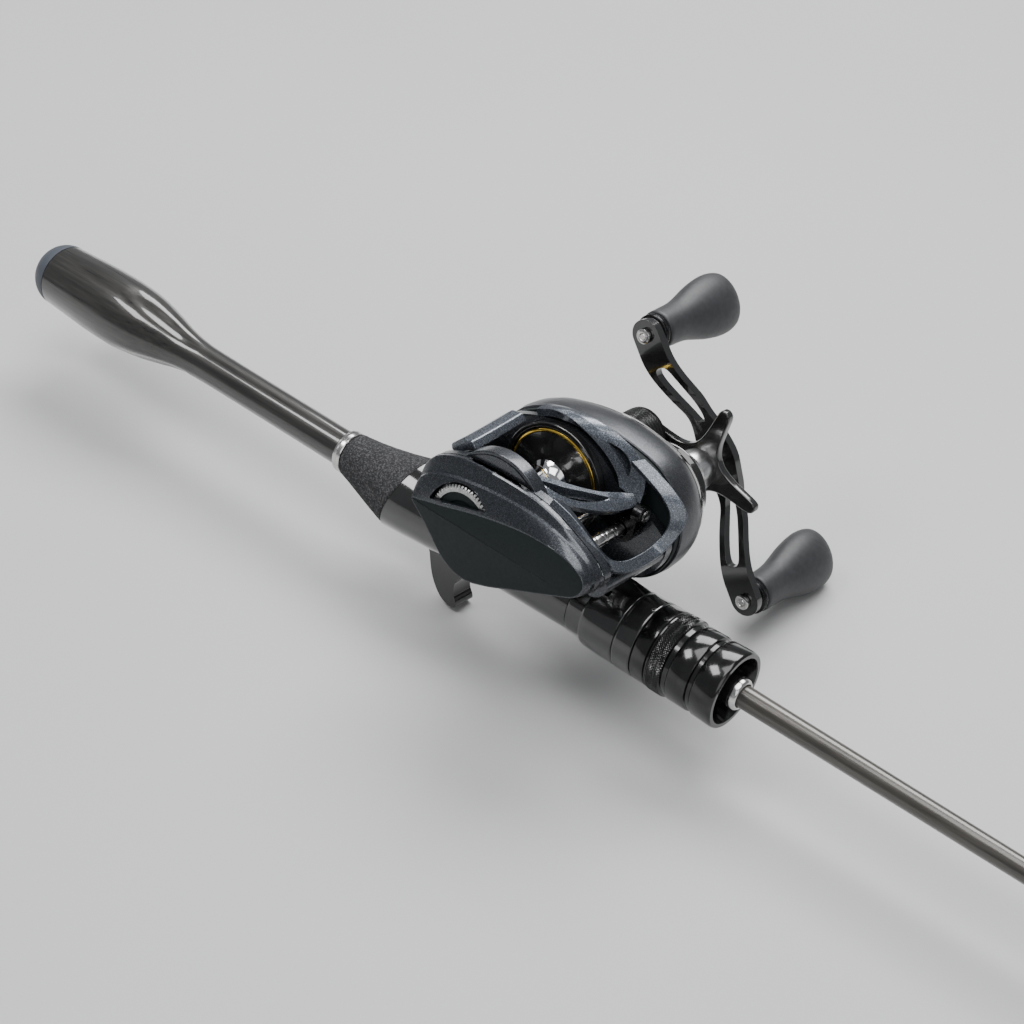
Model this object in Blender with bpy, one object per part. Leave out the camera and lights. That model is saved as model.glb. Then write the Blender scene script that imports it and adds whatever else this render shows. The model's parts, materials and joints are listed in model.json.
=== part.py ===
"""A one-handed bait-casting rod with a low-profile reel, lying at rest on a flat surface.

Everything is laid out in the rod's own frame, in millimetres: X runs along the rod
towards its tip, Y towards the side of the crank handle, Z from the rod up to the reel,
with the origin on the rod's axis under the spool. One parent empty, rod_frame, leans
this frame over until the part rests on the reel seat's trigger, the lower handle knob
and the tip-top, as the real one lies on a table, with the floor at world Z = 0.
"""

import math

import bmesh
import bpy
from mathutils import Matrix, Vector

MM = 0.001                        # one millimetre in Blender's metres
GAP = 0.3                         # between pieces that touch
RUN = 0.35                        # between a shaft and what it turns in
LARGE, MEDIUM, SMALL = 24, 16, 10  # sides of round pieces

# ---------------------------------------------------------------- driving sizes (mm)
BUTT_END = -217.0                 # rear end of the rod
BUTT_CAP_LENGTH = 9.7
BULB_RADIUS = 11.8                # fullest part of the butt
BULB_LENGTH = 78.0                # from the rod's end to the slim tube
BUTT_TUBE_RADIUS = 5.7
BUTT_TUBE_WALL = 1.1
GRIP_START = -74.3                # the trim ring's rear face
TRIM_LENGTH = 3.0
GRIP_RADIUS = 12.6
SEAM_TOP = -42.5                  # where foam meets seat, on top
SEAM_BOTTOM = -50.0               # and underneath
SEAT_RADIUS = 10.8
SEAT_FRONT = 21.8                 # front end of the seat's body
SEAT_SADDLE = 8.4                 # height of the flat that the reel foot lies on
FOOT_REAR = -32.6                 # the reel foot's two ends
FOOT_FRONT = 30.4
FOOT_THICK = 1.9
FOOT_HALF_WIDTH = 5.6
FIXED_HOOD_GRIP = 6.0             # how much of the foot the fixed hood covers
FIXED_HOOD_RADIUS = 9.3
TRIGGER_DEPTH = 27.6              # trigger tip below the rod's axis
TRIGGER_WIDTH = 8.0
TRIGGER_X = -23.2                 # where the trigger reaches lowest
THREAD_RADIUS = 8.3
THREAD_END = 63.0
HOOD_LENGTH = 24.0
HOOD_RADIUS = 11.8
NUT_LENGTH = 27.9
NUT_RADIUS = 12.2
CHECK_END = 77.0                  # front end of the winding check
BLANK_RADIUS = 3.38               # where the blank leaves the seat
BLANK_TAPER = 0.0029              # radius lost per millimetre
FERRULE = 384.0                   # where the two rod sections meet
SPIGOT_LENGTH = 30.0
SPIGOT_RADIUS = 1.8
ROD_TIP = 985.0
TIP_RADIUS = 0.75
TIP_TOP_RADIUS = 1.45
GUIDE_STATIONS = (240.0, 345.0, 480.0, 620.0, 750.0, 870.0)
FIRST_GUIDE_RING = 4.6            # ring radius of the guide nearest the reel
GUIDE_RING_STEP = 0.78            # each next ring is this much of the last one

SPOOL_HEIGHT = 28.2               # spool axis above the rod's axis
SPOOL_RADIUS = 15.2
SPOOL_WIDTH = 23.4
SPOOL_GEAR_END = 4.4              # outer face of the flange on the handle side
SPOOL_SHAFT_RADIUS = 1.5
SPOOL_TAIL_RADIUS = 1.0           # the shaft where it runs on through the gears
ARBOR_RADIUS = 4.6
WALL_GAP = 0.8                    # between a spool flange and the frame wall
WALL = 2.8                        # frame wall thickness
PALM_PLATE_DEPTH = 6.6
PALM_WEB = 1.7                    # the plate's inner wall, behind bearing and magnets
GEAR_PLATE = 2.0                  # thickness of the plate between frame and gears
GEARBOX_DEPTH = 21.6
SHELL_WALL = 1.3
CRANK_X = 20.2                    # crank axis
CRANK_Z = 25.8
CRANK_SHAFT_RADIUS = 2.5
DRAG_RADIUS = 13.5
BEARING_RADIUS = 6.6              # the anti-reverse bearing's outside
CRANK_TEETH = 72
PINION_TEETH = 10
WORM_X = 27.0                     # level-wind worm axis
WORM_Z = 27.5
WORM_RADIUS = 2.0
WORM_PIVOT = 1.8                  # its bearing hole in the palm wall
WORM_JOURNAL = 1.2                # the worm's radius in its bearing hole and gear
LEVEL_DRIVE_TEETH = 16
LEVEL_WORM_TEETH = 13
GUIDE_ROD_X = 20.0
GUIDE_ROD_Z = 30.6
GUIDE_ROD_RADIUS = 1.1
LINE_GUIDE_Y = 1.2                # where the line guide stands at rest
LINE_GUIDE_WIDTH = 6.4

HANDLE_REACH = 42.1               # crank axis to knob axis
HANDLE_ANGLE = 50.5               # the lower arm's angle below the rod's direction
HANDLE_SET_BACK = 4.6             # the arm's ends stand this far inside the star's face
HANDLE_SWEEP = 11.0               # how far the arm's middle stands out from its ends
HANDLE_THICK = 2.8
HANDLE_WIDTH = 9.6
KNOB_PIN_RADIUS = 1.5
COLLAR_LENGTH = 2.2
KNOB_LENGTH = 37.4
KNOB_HALF_WIDTH = 9.6
KNOB_HALF_DEPTH = 6.6
STAR_REACH = 21.5
STAR_THICK = 2.8
TENSION_RADIUS = 8.2
TENSION_LENGTH = 13.4
BOSS_LENGTH = 7.6                 # crank boss on the gearbox cover
BOSS_RADIUS = 8.6
DIAL_RADIUS = 11.2
DIAL_PIVOT = 1.3
DIAL_X = -6.5
DIAL_Z = 22.2

# ---------------------------------------------------------------- places that follow
SPOOL_PALM_END = SPOOL_GEAR_END - SPOOL_WIDTH
GEAR_WALL_IN = SPOOL_GEAR_END + WALL_GAP
GEAR_WALL_OUT = GEAR_WALL_IN + WALL
PALM_WALL_IN = SPOOL_PALM_END - WALL_GAP
PALM_WALL_OUT = PALM_WALL_IN - WALL
PALM_PLATE_IN = PALM_WALL_OUT - GAP
PALM_PLATE_OUT = PALM_PLATE_IN - PALM_PLATE_DEPTH
GEAR_PLATE_IN = GEAR_WALL_OUT + GAP
GEAR_PLATE_OUT = GEAR_PLATE_IN + GEAR_PLATE
GEARBOX_IN = GEAR_PLATE_OUT + GAP
GEARBOX_OUT = GEARBOX_IN + GEARBOX_DEPTH
TENSION_START = GEARBOX_OUT + 1.4 + GAP
TENSION_END = TENSION_START + TENSION_LENGTH
STAR_START = TENSION_END + 0.9
STAR_END = STAR_START + STAR_THICK
HANDLE_INNER = STAR_END - HANDLE_SET_BACK
FOOT_BOTTOM = SEAT_SADDLE + GAP
FOOT_TOP = FOOT_BOTTOM + FOOT_THICK
FIXED_HOOD_LIFT = 4.2             # the fixed hood's arch is turned about an axis this high
FLOOR_BOTTOM = FOOT_TOP + GAP
FLOOR_TOP = SPOOL_HEIGHT - SPOOL_RADIUS - 0.5
HOOD_REAR = SEAT_FRONT + GAP
HOOD_FRONT = HOOD_REAR + HOOD_LENGTH
NUT_REAR = HOOD_FRONT + GAP
NUT_FRONT = NUT_REAR + NUT_LENGTH
SPOOL_AXIS = (0.0, SPOOL_HEIGHT)
CRANK_AXIS = (CRANK_X, CRANK_Z)
WORM_AXIS = (WORM_X, WORM_Z)
DIAL_AXIS = (DIAL_X, DIAL_Z)
ARM_DIRECTION = (math.cos(math.radians(HANDLE_ANGLE)), -math.sin(math.radians(HANDLE_ANGLE)))
ROOT_AXIS = "rod_frame"
PLATE_HOLE = SPOOL_RADIUS + 0.6   # the spool comes out through the palm wall
TIP_TOP_END = ROD_TIP + 1.2


def blank_radius(x):
    """Outer radius of the blank at a station along the rod."""
    return BLANK_RADIUS - BLANK_TAPER * max(0.0, x - CHECK_END)


# ---------------------------------------------------------------- scene helpers
def clear_scene():
    for thing in list(bpy.data.objects):
        bpy.data.objects.remove(thing, do_unlink=True)


def material(name, colour, roughness, metallic):
    made = bpy.data.materials.new(name)
    made.use_nodes = True
    shader = made.node_tree.nodes["Principled BSDF"]
    shader.inputs["Base Color"].default_value = (*colour, 1.0)
    shader.inputs["Roughness"].default_value = roughness
    shader.inputs["Metallic"].default_value = metallic
    return made


def empty(name, place, parent=None):
    """An empty at a place in the rod's frame: a joint's axis, or the frame itself."""
    made = bpy.data.objects.new(name, None)
    made.empty_display_size = 10 * MM
    made.location = Vector(place) * MM
    made.parent = parent
    bpy.context.scene.collection.objects.link(made)
    return made


def axis_offset(parent):
    """Where a parent empty stands in the rod's frame, in millimetres."""
    offset = Vector()
    while parent is not None and parent.name != ROOT_AXIS:
        offset += parent.location / MM
        parent = parent.parent
    return offset


def add(name, bm, look, parent, sharp=35.0):
    """Turn a bmesh drawn in the rod's frame, in millimetres, into a named part."""
    offset = axis_offset(parent)
    bmesh.ops.remove_doubles(bm, verts=bm.verts, dist=0.0005)
    bmesh.ops.recalc_face_normals(bm, faces=bm.faces)
    for vert in bm.verts:
        vert.co = (vert.co - offset) * MM
    mesh = bpy.data.meshes.new(name)
    bm.to_mesh(mesh)
    bm.free()
    mesh.materials.append(material(name, *look))
    mesh.shade_smooth()
    mesh.set_sharp_from_angle(angle=math.radians(sharp))
    made = bpy.data.objects.new(name, mesh)
    made.parent = parent
    bpy.context.scene.collection.objects.link(made)
    return made


def boolean(target, tool_bm, operation="DIFFERENCE"):
    """Cut a part with a hidden tool, or join the tool to it. The part stays live."""
    tool = add(f"{target.name}_tool", tool_bm, ((0.5, 0.5, 0.5), 0.5, 0.0), target.parent)
    tool.hide_render = True
    tool.display_type = "WIRE"
    step = target.modifiers.new(operation.lower(), "BOOLEAN")
    step.operation = operation
    step.object = tool
    return target


# ---------------------------------------------------------------- shape helpers
def turned(profile, along="X", centre=(0.0, 0.0), segments=LARGE):
    """Spin a profile of (place along the axis, radius) points about an axis.

    A profile that starts and ends on the axis makes a solid; one that stays off it is
    joined end to start and makes a ring. along is X or Y; centre is (Y, Z) or (X, Z).
    """
    bm = bmesh.new()
    rings = []
    for place, radius in profile:
        steps = segments if radius > 0 else 1
        ring = []
        for k in range(steps):
            turn = 2 * math.pi * k / segments
            side, up = radius * math.cos(turn), radius * math.sin(turn)
            if along == "X":
                ring.append(bm.verts.new((place, centre[0] + side, centre[1] + up)))
            else:
                ring.append(bm.verts.new((centre[0] + side, place, centre[1] + up)))
        rings.append(ring)
    pairs = list(zip(rings, rings[1:]))
    if len(rings[0]) > 1 and len(rings[-1]) > 1:
        pairs.append((rings[-1], rings[0]))
    for first, second in pairs:
        if len(first) == len(second) == 1:
            continue
        for k in range(segments):
            corners = [first[k % len(first)], first[(k + 1) % len(first)],
                       second[(k + 1) % len(second)], second[k % len(second)]]
            bm.faces.new(dict.fromkeys(corners))
    return bm


def rod_shape(profile, segments=LARGE):
    """A solid turned about the rod's axis, with flat ends."""
    return turned([(profile[0][0], 0.0), *profile, (profile[-1][0], 0.0)], "X", (0, 0), segments)


def pin(start, end, radius, centre, segments=MEDIUM):
    """A plain cylinder along Y."""
    return turned([(start, 0), (start, radius), (end, radius), (end, 0)], "Y", centre, segments)


def ring(start, end, inner, outer, centre, segments=LARGE, along="Y"):
    """A plain sleeve."""
    profile = [(start, inner), (start, outer), (end, outer), (end, inner)]
    return turned(profile, along, centre, segments)


def box(low, high):
    bm = bmesh.new()
    size = Vector(high) - Vector(low)
    middle = (Vector(high) + Vector(low)) / 2
    bmesh.ops.create_cube(bm, size=1.0, matrix=Matrix.Translation(middle) @ Matrix.Diagonal((*size, 1)))
    return bm


def curve_through(points, steps=4):
    """A closed Catmull-Rom curve through a few (x, z) points."""
    count = len(points)
    curve = []
    for k in range(count):
        before, here = Vector(points[k - 1]), Vector(points[k])
        there, after = Vector(points[(k + 1) % count]), Vector(points[(k + 2) % count])
        for step in range(steps):
            t = step / steps
            curve.append(tuple(0.5 * (2 * here + (there - before) * t
                                      + (2 * before - 5 * here + 4 * there - after) * t * t
                                      + (3 * here - before - 3 * there + after) * t ** 3)))
    return curve


def shrunk(outline, wall):
    """The outline moved inwards by a wall, along each point's own normal."""
    count = len(outline)
    area = sum(outline[k - 1][0] * outline[k][1] - outline[k][0] * outline[k - 1][1] for k in range(count))
    side = 1.0 if area > 0 else -1.0
    inner = []
    for k in range(count):
        along = Vector(outline[(k + 1) % count]) - Vector(outline[k - 1])
        normal = Vector((-along.y, along.x)).normalized() * side
        inner.append(tuple(Vector(outline[k]) + normal * wall))
    return inner


def scaled(outline, factor, about):
    return [(about[0] + (x - about[0]) * factor, about[1] + (z - about[1]) * factor) for x, z in outline]


def circle(centre, radius, segments=MEDIUM, start=0.0):
    turns = [start + 2 * math.pi * k / segments for k in range(segments)]
    return [(centre[0] + radius * math.cos(turn), centre[1] + radius * math.sin(turn)) for turn in turns]


def plate(outline, start, end, holes=()):
    """A flat piece in the XZ plane, from one Y to another, with round or shaped holes."""
    bm = bmesh.new()
    sides = []
    for y in (start, end):
        edges = []
        for loop in (outline, *holes):
            verts = [bm.verts.new((x, y, z)) for x, z in loop]
            edges += [bm.edges.new((verts[k - 1], verts[k])) for k in range(len(verts))]
            sides.append(verts)
        bmesh.ops.triangle_fill(bm, use_beauty=True, edges=edges)
    half = len(sides) // 2
    for near, far in zip(sides[:half], sides[half:]):
        for k in range(len(near)):
            bm.faces.new((near[k - 1], near[k], far[k], far[k - 1]))
    return bm


def loft(sections):
    """Bridge closed sections of equal count and cap both ends."""
    bm = bmesh.new()
    loops = [[bm.verts.new(point) for point in section] for section in sections]
    for first, second in zip(loops, loops[1:]):
        for k in range(len(first)):
            bm.faces.new((first[k - 1], first[k], second[k], second[k - 1]))
    bm.faces.new(loops[0])
    bm.faces.new(list(reversed(loops[-1])))
    return bm


def layered(outlines):
    """A loft along Y of XZ outlines given as (y, outline)."""
    return loft([[(x, y, z) for x, z in outline] for y, outline in outlines])


def gear_outline(centre, teeth, module, tooth_at):
    """A spur gear's outline with slim teeth, one of them centred on an angle."""
    pitch = 2 * math.pi / teeth
    radius = module * teeth / 2
    root, crest = radius - 1.2 * module, radius + 0.85 * module
    outline = []
    for k in range(teeth):
        middle = tooth_at + k * pitch
        for share, reach in ((-0.30, root), (-0.11, crest), (0.11, crest), (0.30, root)):
            turn = middle + share * pitch
            outline.append((centre[0] + reach * math.cos(turn), centre[1] + reach * math.sin(turn)))
    return outline


def gear_pair(driver_axis, driver_teeth, driven_axis, driven_teeth):
    """Outlines of two meshed gears whose module follows from their axes' distance."""
    reach = Vector(driven_axis) - Vector(driver_axis)
    module = 2 * reach.length / (driver_teeth + driven_teeth)
    towards = math.atan2(reach.y, reach.x)
    driver = gear_outline(driver_axis, driver_teeth, module, towards)
    half_tooth = math.pi / driven_teeth
    driven = gear_outline(driven_axis, driven_teeth, module, towards + math.pi + half_tooth)
    return driver, driven


# ---------------------------------------------------------------- looks
CARBON = ((0.035, 0.034, 0.033), 0.22, 0.3)
FOAM = ((0.035, 0.035, 0.036), 0.9, 0.0)
GLOSS = ((0.012, 0.012, 0.013), 0.15, 0.1)
FLAKE = ((0.045, 0.05, 0.058), 0.28, 0.6)
SATIN = ((0.03, 0.033, 0.034), 0.45, 0.3)
ANODISED = ((0.02, 0.02, 0.022), 0.25, 0.9)
STEEL = ((0.62, 0.62, 0.6), 0.25, 1.0)
BRASS = ((0.6, 0.44, 0.2), 0.35, 1.0)
GOLD = ((0.85, 0.58, 0.12), 0.25, 1.0)
CERAMIC = ((0.05, 0.05, 0.055), 0.12, 0.0)
KNOB = ((0.03, 0.031, 0.033), 0.55, 0.0)
PAD = ((0.12, 0.1, 0.08), 0.7, 0.0)


# ---------------------------------------------------------------- the rod
def build_butt(root):
    cap_front = BUTT_END + BUTT_CAP_LENGTH
    cap_radius = BULB_RADIUS * 0.91
    dome = []
    for k in range(1, 6):
        turn = math.radians(18 * k)
        dome.append((cap_front - GAP - (BUTT_CAP_LENGTH - GAP) * math.cos(turn),
                     cap_radius * math.sin(turn)))
    cap = turned([(BUTT_END, 0), *dome, (cap_front - GAP, 0)], "X", (0, 0), MEDIUM)
    add("butt_cap", cap, SATIN, root)

    neck = BUTT_END + BULB_LENGTH
    bulge = BULB_RADIUS - BUTT_TUBE_RADIUS
    outer = [(cap_front, cap_radius), (cap_front + 9, cap_radius + 0.5), (neck - 49, BULB_RADIUS),
             (neck - 37, BULB_RADIUS), (neck - 27, BUTT_TUBE_RADIUS + 0.86 * bulge),
             (neck - 18, BUTT_TUBE_RADIUS + 0.56 * bulge), (neck - 10, BUTT_TUBE_RADIUS + 0.25 * bulge),
             (neck - 2, BUTT_TUBE_RADIUS + 0.07 * bulge), (neck + 8, BUTT_TUBE_RADIUS + 0.1)]
    tube_front = SEAM_BOTTOM - 6
    bore = [(tube_front, BUTT_TUBE_RADIUS - BUTT_TUBE_WALL), (neck - 8, BUTT_TUBE_RADIUS - BUTT_TUBE_WALL),
            (neck - 30, BULB_RADIUS - 3.6), (cap_front, BULB_RADIUS - 3.0)]
    tube = turned(outer + [(tube_front, BUTT_TUBE_RADIUS)] + bore, "X", (0, 0), MEDIUM)
    add("butt_tube", tube, CARBON, root)

    trim_bore = BUTT_TUBE_RADIUS + GAP
    trim_end = GRIP_START + TRIM_LENGTH
    trim = turned([(GRIP_START, trim_bore), (GRIP_START, trim_bore + 0.5), (GRIP_START + 0.7, trim_bore + 0.9),
                   (trim_end, trim_bore + 0.9), (trim_end, trim_bore)], "X", (0, 0), MEDIUM)
    add("rear_trim_ring", trim, STEEL, root)


def seam_x(height, back=0.0):
    """X of the slanted seam between grip and seat, at a height above the rod's axis."""
    slope = (SEAM_TOP - SEAM_BOTTOM) / (2 * GRIP_RADIUS)
    return (SEAM_TOP + SEAM_BOTTOM) / 2 + slope * height - back


def build_grip(root):
    """Foam that swells towards the seat, fuller underneath, cut on the slanted seam."""
    start = GRIP_START + TRIM_LENGTH + GAP
    rear_radius = BUTT_TUBE_RADIUS + 1.3
    sections = []
    for share in (0.0, 0.2, 0.42, 0.66, 0.86, 1.0):
        swell = share ** 1.15
        radius = rear_radius + (GRIP_RADIUS - rear_radius) * swell
        droop = -0.9 * math.sin(math.pi * share * 0.8)
        points = []
        for k in range(LARGE):
            turn = 2 * math.pi * k / LARGE
            height = droop + radius * math.sin(turn)
            points.append((start + (seam_x(height, GAP) - start) * share, radius * math.cos(turn), height))
        sections.append(points)
    grip = add("rear_grip", loft(sections), FOAM, root)
    boolean(grip, rod_shape([(start - 5, BUTT_TUBE_RADIUS + GAP), (SEAM_TOP + 5, BUTT_TUBE_RADIUS + GAP)], MEDIUM))


def build_seat(root):
    """Seat body with its trigger and the flat saddle for the reel foot."""
    swell = GRIP_RADIUS + 0.2 - SEAT_RADIUS
    radii = ((0.0, SEAT_RADIUS + swell), (0.16, SEAT_RADIUS + 0.65 * swell), (0.34, SEAT_RADIUS + 0.3 * swell),
             (0.6, SEAT_RADIUS), (1.0, SEAT_RADIUS - 0.5))
    sections = []
    for share, radius in radii:
        points = []
        for k in range(LARGE):
            turn = 2 * math.pi * k / LARGE
            height = radius * math.sin(turn) - 0.6 * (1 - share)
            rear = seam_x(height)
            points.append((rear + (SEAT_FRONT - rear) * share, radius * math.cos(turn), height))
        sections.append(points)
    seat = add("reel_seat", loft(sections), GLOSS, root)
    deep = TRIGGER_DEPTH
    hook = [(-34, -7), (-33, -0.5 * deep), (-30.6, -0.76 * deep), (-26.6, -0.93 * deep), (TRIGGER_X, -deep),
            (-20.6, -0.975 * deep), (-20.4, -0.92 * deep), (-22.4, -0.8 * deep), (-21.6, -0.62 * deep),
            (-17.4, -0.46 * deep), (-10, -0.36 * deep), (-6, -6)]
    boolean(seat, plate(hook, -TRIGGER_WIDTH / 2, TRIGGER_WIDTH / 2), "UNION")
    hood_rear, hood_front = FOOT_REAR - 5, FOOT_REAR + FIXED_HOOD_GRIP
    hood = turned([(hood_rear, 0), (hood_rear, 6.0), (FOOT_REAR - 2, FIXED_HOOD_RADIUS - 0.4),
                   (hood_front, FIXED_HOOD_RADIUS), (hood_front, 0)], "X", (0, FIXED_HOOD_LIFT), LARGE)
    boolean(seat, hood, "UNION")
    roof = FOOT_TOP + GAP
    saddle = [(FOOT_REAR - 0.4, SEAT_SADDLE), (FOOT_REAR - 0.4, roof), (hood_front - 1, roof),
              (hood_front + 0.5, SEAT_SADDLE + 12), (SEAT_FRONT + 1, SEAT_SADDLE + 12), (SEAT_FRONT + 1, SEAT_SADDLE)]
    boolean(seat, plate(saddle, -FOOT_HALF_WIDTH - 0.4, FOOT_HALF_WIDTH + 0.4))
    ramp = [(hood_front + 0.5, SEAT_SADDLE), (hood_front + 0.5, SEAT_SADDLE + 12),
            (SEAT_FRONT + 1, SEAT_SADDLE + 12), (SEAT_FRONT + 1, SEAT_SADDLE)]
    boolean(seat, plate(ramp, -SEAT_RADIUS, SEAT_RADIUS))
    bore = BLANK_RADIUS + GAP
    boolean(seat, rod_shape([(BUTT_END, bore), (SEAT_FRONT + 5, bore)], MEDIUM))

    thread_start = SEAT_FRONT + GAP
    thread = turned([(thread_start, bore), (thread_start, THREAD_RADIUS), (THREAD_END - 1, THREAD_RADIUS),
                     (THREAD_END, THREAD_RADIUS - 0.8), (THREAD_END, bore)], "X", (0, 0), LARGE)
    add("seat_thread", thread, SATIN, root)
    start = THREAD_END + GAP
    check = turned([(start, bore), (start, THREAD_RADIUS - 1.6), (start + 5, bore + 1.5), (CHECK_END - 2, bore + 1.1),
                    (CHECK_END, bore + 0.5), (CHECK_END, bore)], "X", (0, 0), MEDIUM)
    add("winding_check", check, SATIN, root)


def build_hood(hood_axis, nut_axis):
    bore = THREAD_RADIUS + GAP
    rear, front = HOOD_REAR, HOOD_FRONT
    outer = HOOD_RADIUS
    hood = turned([(rear, bore), (rear, outer - 1.4), (rear + 5.2, outer - 1.0), (rear + 5.6, outer - 0.2),
                   (rear + 17.2, outer), (rear + 17.4, outer - 0.5), (rear + 17.9, outer - 0.5),
                   (rear + 18.1, outer + 0.1), (front - 0.4, outer + 0.2), (front, outer - 0.2), (front, bore)],
                  "X", (0, 0), LARGE)
    moving = add("moving_hood", hood, GLOSS, hood_axis)
    pocket = FOOT_HALF_WIDTH + 0.8
    boolean(moving, box((rear - 2, -pocket, 0), (FOOT_FRONT + 1.7, pocket, FOOT_TOP + GAP)))

    rear, front = NUT_REAR, NUT_FRONT
    outer = NUT_RADIUS
    profile = [(rear, bore), (rear, outer - 0.5), (rear + 4.8, outer - 0.4), (rear + 5.1, outer - 0.9),
               (rear + 5.5, outer), (rear + 10.2, outer), (rear + 10.7, outer - 1.1), (rear + 12, outer - 1.1),
               (rear + 12.4, outer - 0.5), (rear + 18.6, outer - 0.5), (rear + 19, outer - 1.2),
               (rear + 20.2, outer - 1.2), (rear + 20.7, outer - 0.5), (front - 1.2, outer - 0.2),
               (front, outer - 0.6), (front, outer - 2.0), (front - 8.6, outer - 3.2), (front - 10.6, bore)]
    nut = turned(profile, "X", (0, 0), LARGE)
    add("lock_nut", nut, ANODISED, nut_axis)


def build_blank(root, tip_axis):
    bore_end = SPIGOT_RADIUS + 0.07
    start = SEAM_BOTTOM + 4
    wrap_start = FERRULE - 15
    outer = [(start, BLANK_RADIUS), (CHECK_END, BLANK_RADIUS), (180, blank_radius(180)),
             (280, blank_radius(280)), (FERRULE, blank_radius(FERRULE))]
    inner = [(FERRULE, bore_end), (FERRULE - SPIGOT_LENGTH - 2, bore_end), (start, BLANK_RADIUS - 1.0)]
    add("blank_butt", turned(outer + inner, "X", (0, 0), SMALL), CARBON, root)

    wrap_bore = blank_radius(wrap_start) + GAP / 2
    wrap_end = FERRULE - GAP
    wrap = turned([(wrap_start, wrap_bore), (wrap_start + 1, wrap_bore + 0.4), (wrap_end - 0.4, wrap_bore + 0.4),
                   (wrap_end, wrap_bore)], "X", (0, 0), SMALL)
    add("ferrule_wrap", wrap, GLOSS, root)

    shoulder = FERRULE + GAP
    base = blank_radius(FERRULE)
    tip = [(FERRULE - SPIGOT_LENGTH, SPIGOT_RADIUS), (shoulder, SPIGOT_RADIUS), (shoulder, base)]
    for share in (0.25, 0.5, 0.75, 1.0):
        tip.append((shoulder + (ROD_TIP - shoulder) * share, base + (TIP_RADIUS - base) * share))
    add("blank_tip", rod_shape(tip, SMALL), CARBON, tip_axis)


def tip_radius(x):
    """Outer radius of the tip section."""
    share = (x - FERRULE) / (ROD_TIP - FERRULE)
    base = blank_radius(FERRULE)
    return base + (TIP_RADIUS - base) * share


def build_guides(root, tip_axis):
    """Line guides along the top of the rod: a metal frame and a ceramic ring each."""
    inner = FIRST_GUIDE_RING
    for number, station in enumerate(GUIDE_STATIONS, start=1):
        on_butt = station < FERRULE
        parent = root if on_butt else tip_axis
        foot_rear = station - 3.2 * inner
        radius_there = blank_radius(foot_rear) if on_butt else tip_radius(foot_rear)
        seat_height = radius_there + GAP
        holder = inner + 0.75
        height = seat_height + holder + 1.6
        width = 0.55 + 0.09 * inner
        frame = turned([(station - width, inner + 0.35 + GAP), (station - width, holder + GAP),
                        (station + width, holder + GAP), (station + width, inner + 0.35 + GAP)],
                       "X", (0, height), SMALL)
        made = add(f"guide_{number}_frame", frame, STEEL, parent)
        leg_top = height - holder + 0.1
        leg = [(foot_rear, seat_height), (foot_rear, seat_height + 0.35),
               (station - 1.5 * inner, seat_height + 0.6),
               (station - width * 0.8, leg_top), (station + width * 0.8, leg_top),
               (station + 1.1 * inner, seat_height + 0.6), (station + 1.9 * inner, seat_height + 0.35),
               (station + 1.9 * inner, seat_height)]
        boolean(made, plate(leg, -0.32 * inner - 0.2, 0.32 * inner + 0.2), "UNION")
        insert = turned([(station - width - 0.2, inner - 0.35), (station - width - 0.2, inner + 0.3),
                         (station + width + 0.2, inner + 0.3), (station + width + 0.2, inner - 0.35)],
                        "X", (0, height), SMALL)
        add(f"guide_{number}_ring", insert, CERAMIC, parent)
        inner = max(inner * GUIDE_RING_STEP, 1.5)

    sleeve_start = ROD_TIP - 7
    sleeve_bore = tip_radius(sleeve_start) + GAP
    sleeve = turned([(sleeve_start, sleeve_bore), (sleeve_start, TIP_TOP_RADIUS + 0.15),
                     (TIP_TOP_END, TIP_TOP_RADIUS), (TIP_TOP_END, 0), (ROD_TIP + GAP, 0),
                     (ROD_TIP + GAP, sleeve_bore)], "X", (0, 0), SMALL)
    top = add("tip_top", sleeve, STEEL, tip_axis)
    boolean(top, ring(ROD_TIP, TIP_TOP_END - 0.1, 1.5, 2.5, (0, TIP_TOP_RADIUS + 2.15), SMALL, "X"), "UNION")


# ---------------------------------------------------------------- the reel's outlines
PALM_POINTS = ((-25, 26), (-22.5, 34), (-14, 38.6), (-3, 40.2), (10, 40.2), (20, 38.6), (30, 34.6),
               (36.4, 31), (39.4, 27), (36.6, 21.8), (29, 17.2), (15, 11.4), (6, 7.4), (-2, 5.4),
               (-10, 7.6), (-19, 15.6))
FACE_POINTS = ((-23.8, 21.5), (-21, 22.8), (-12.5, 25.2), (-2.5, 28.2), (8.5, 30.8), (18.5, 32.2), (28, 32),
               (34.5, 30), (37.4, 26.6), (35.4, 22), (28, 18.2), (14.5, 12.2), (6, 8.4), (-2, 6.4),
               (-9.6, 8.8), (-18, 16.4))
GEAR_MODULE = 2 * math.dist(CRANK_AXIS, SPOOL_AXIS) / (CRANK_TEETH + PINION_TEETH)
NOSE_RADIUS = GEAR_MODULE * (CRANK_TEETH / 2 + 1) + 0.4 + SHELL_WALL + 0.6
GEAR_NOSE = [(CRANK_X + NOSE_RADIUS * math.cos(math.radians(turn)),
              CRANK_Z + NOSE_RADIUS * math.sin(math.radians(turn))) for turn in range(70, -96, -27)]
GEAR_POINTS = ((-22.5, 20), (-25, 28), (-22, 37), (-15, 42.6), (-6, 45.4), (4, 46.8), (14, 47.2),
               *GEAR_NOSE, (8, 6.4), (-4, 8.4), (-14, 12.4))
PALM_OUTLINE = curve_through(PALM_POINTS, 2)
FACE_OUTLINE = curve_through(FACE_POINTS, 2)  # the side plate's flat face
GEAR_OUTLINE = curve_through(GEAR_POINTS, 2)


def above(outline, floor):
    """The outline with everything under a height pressed up to it."""
    return [(x, max(z, floor)) for x, z in outline]


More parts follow.
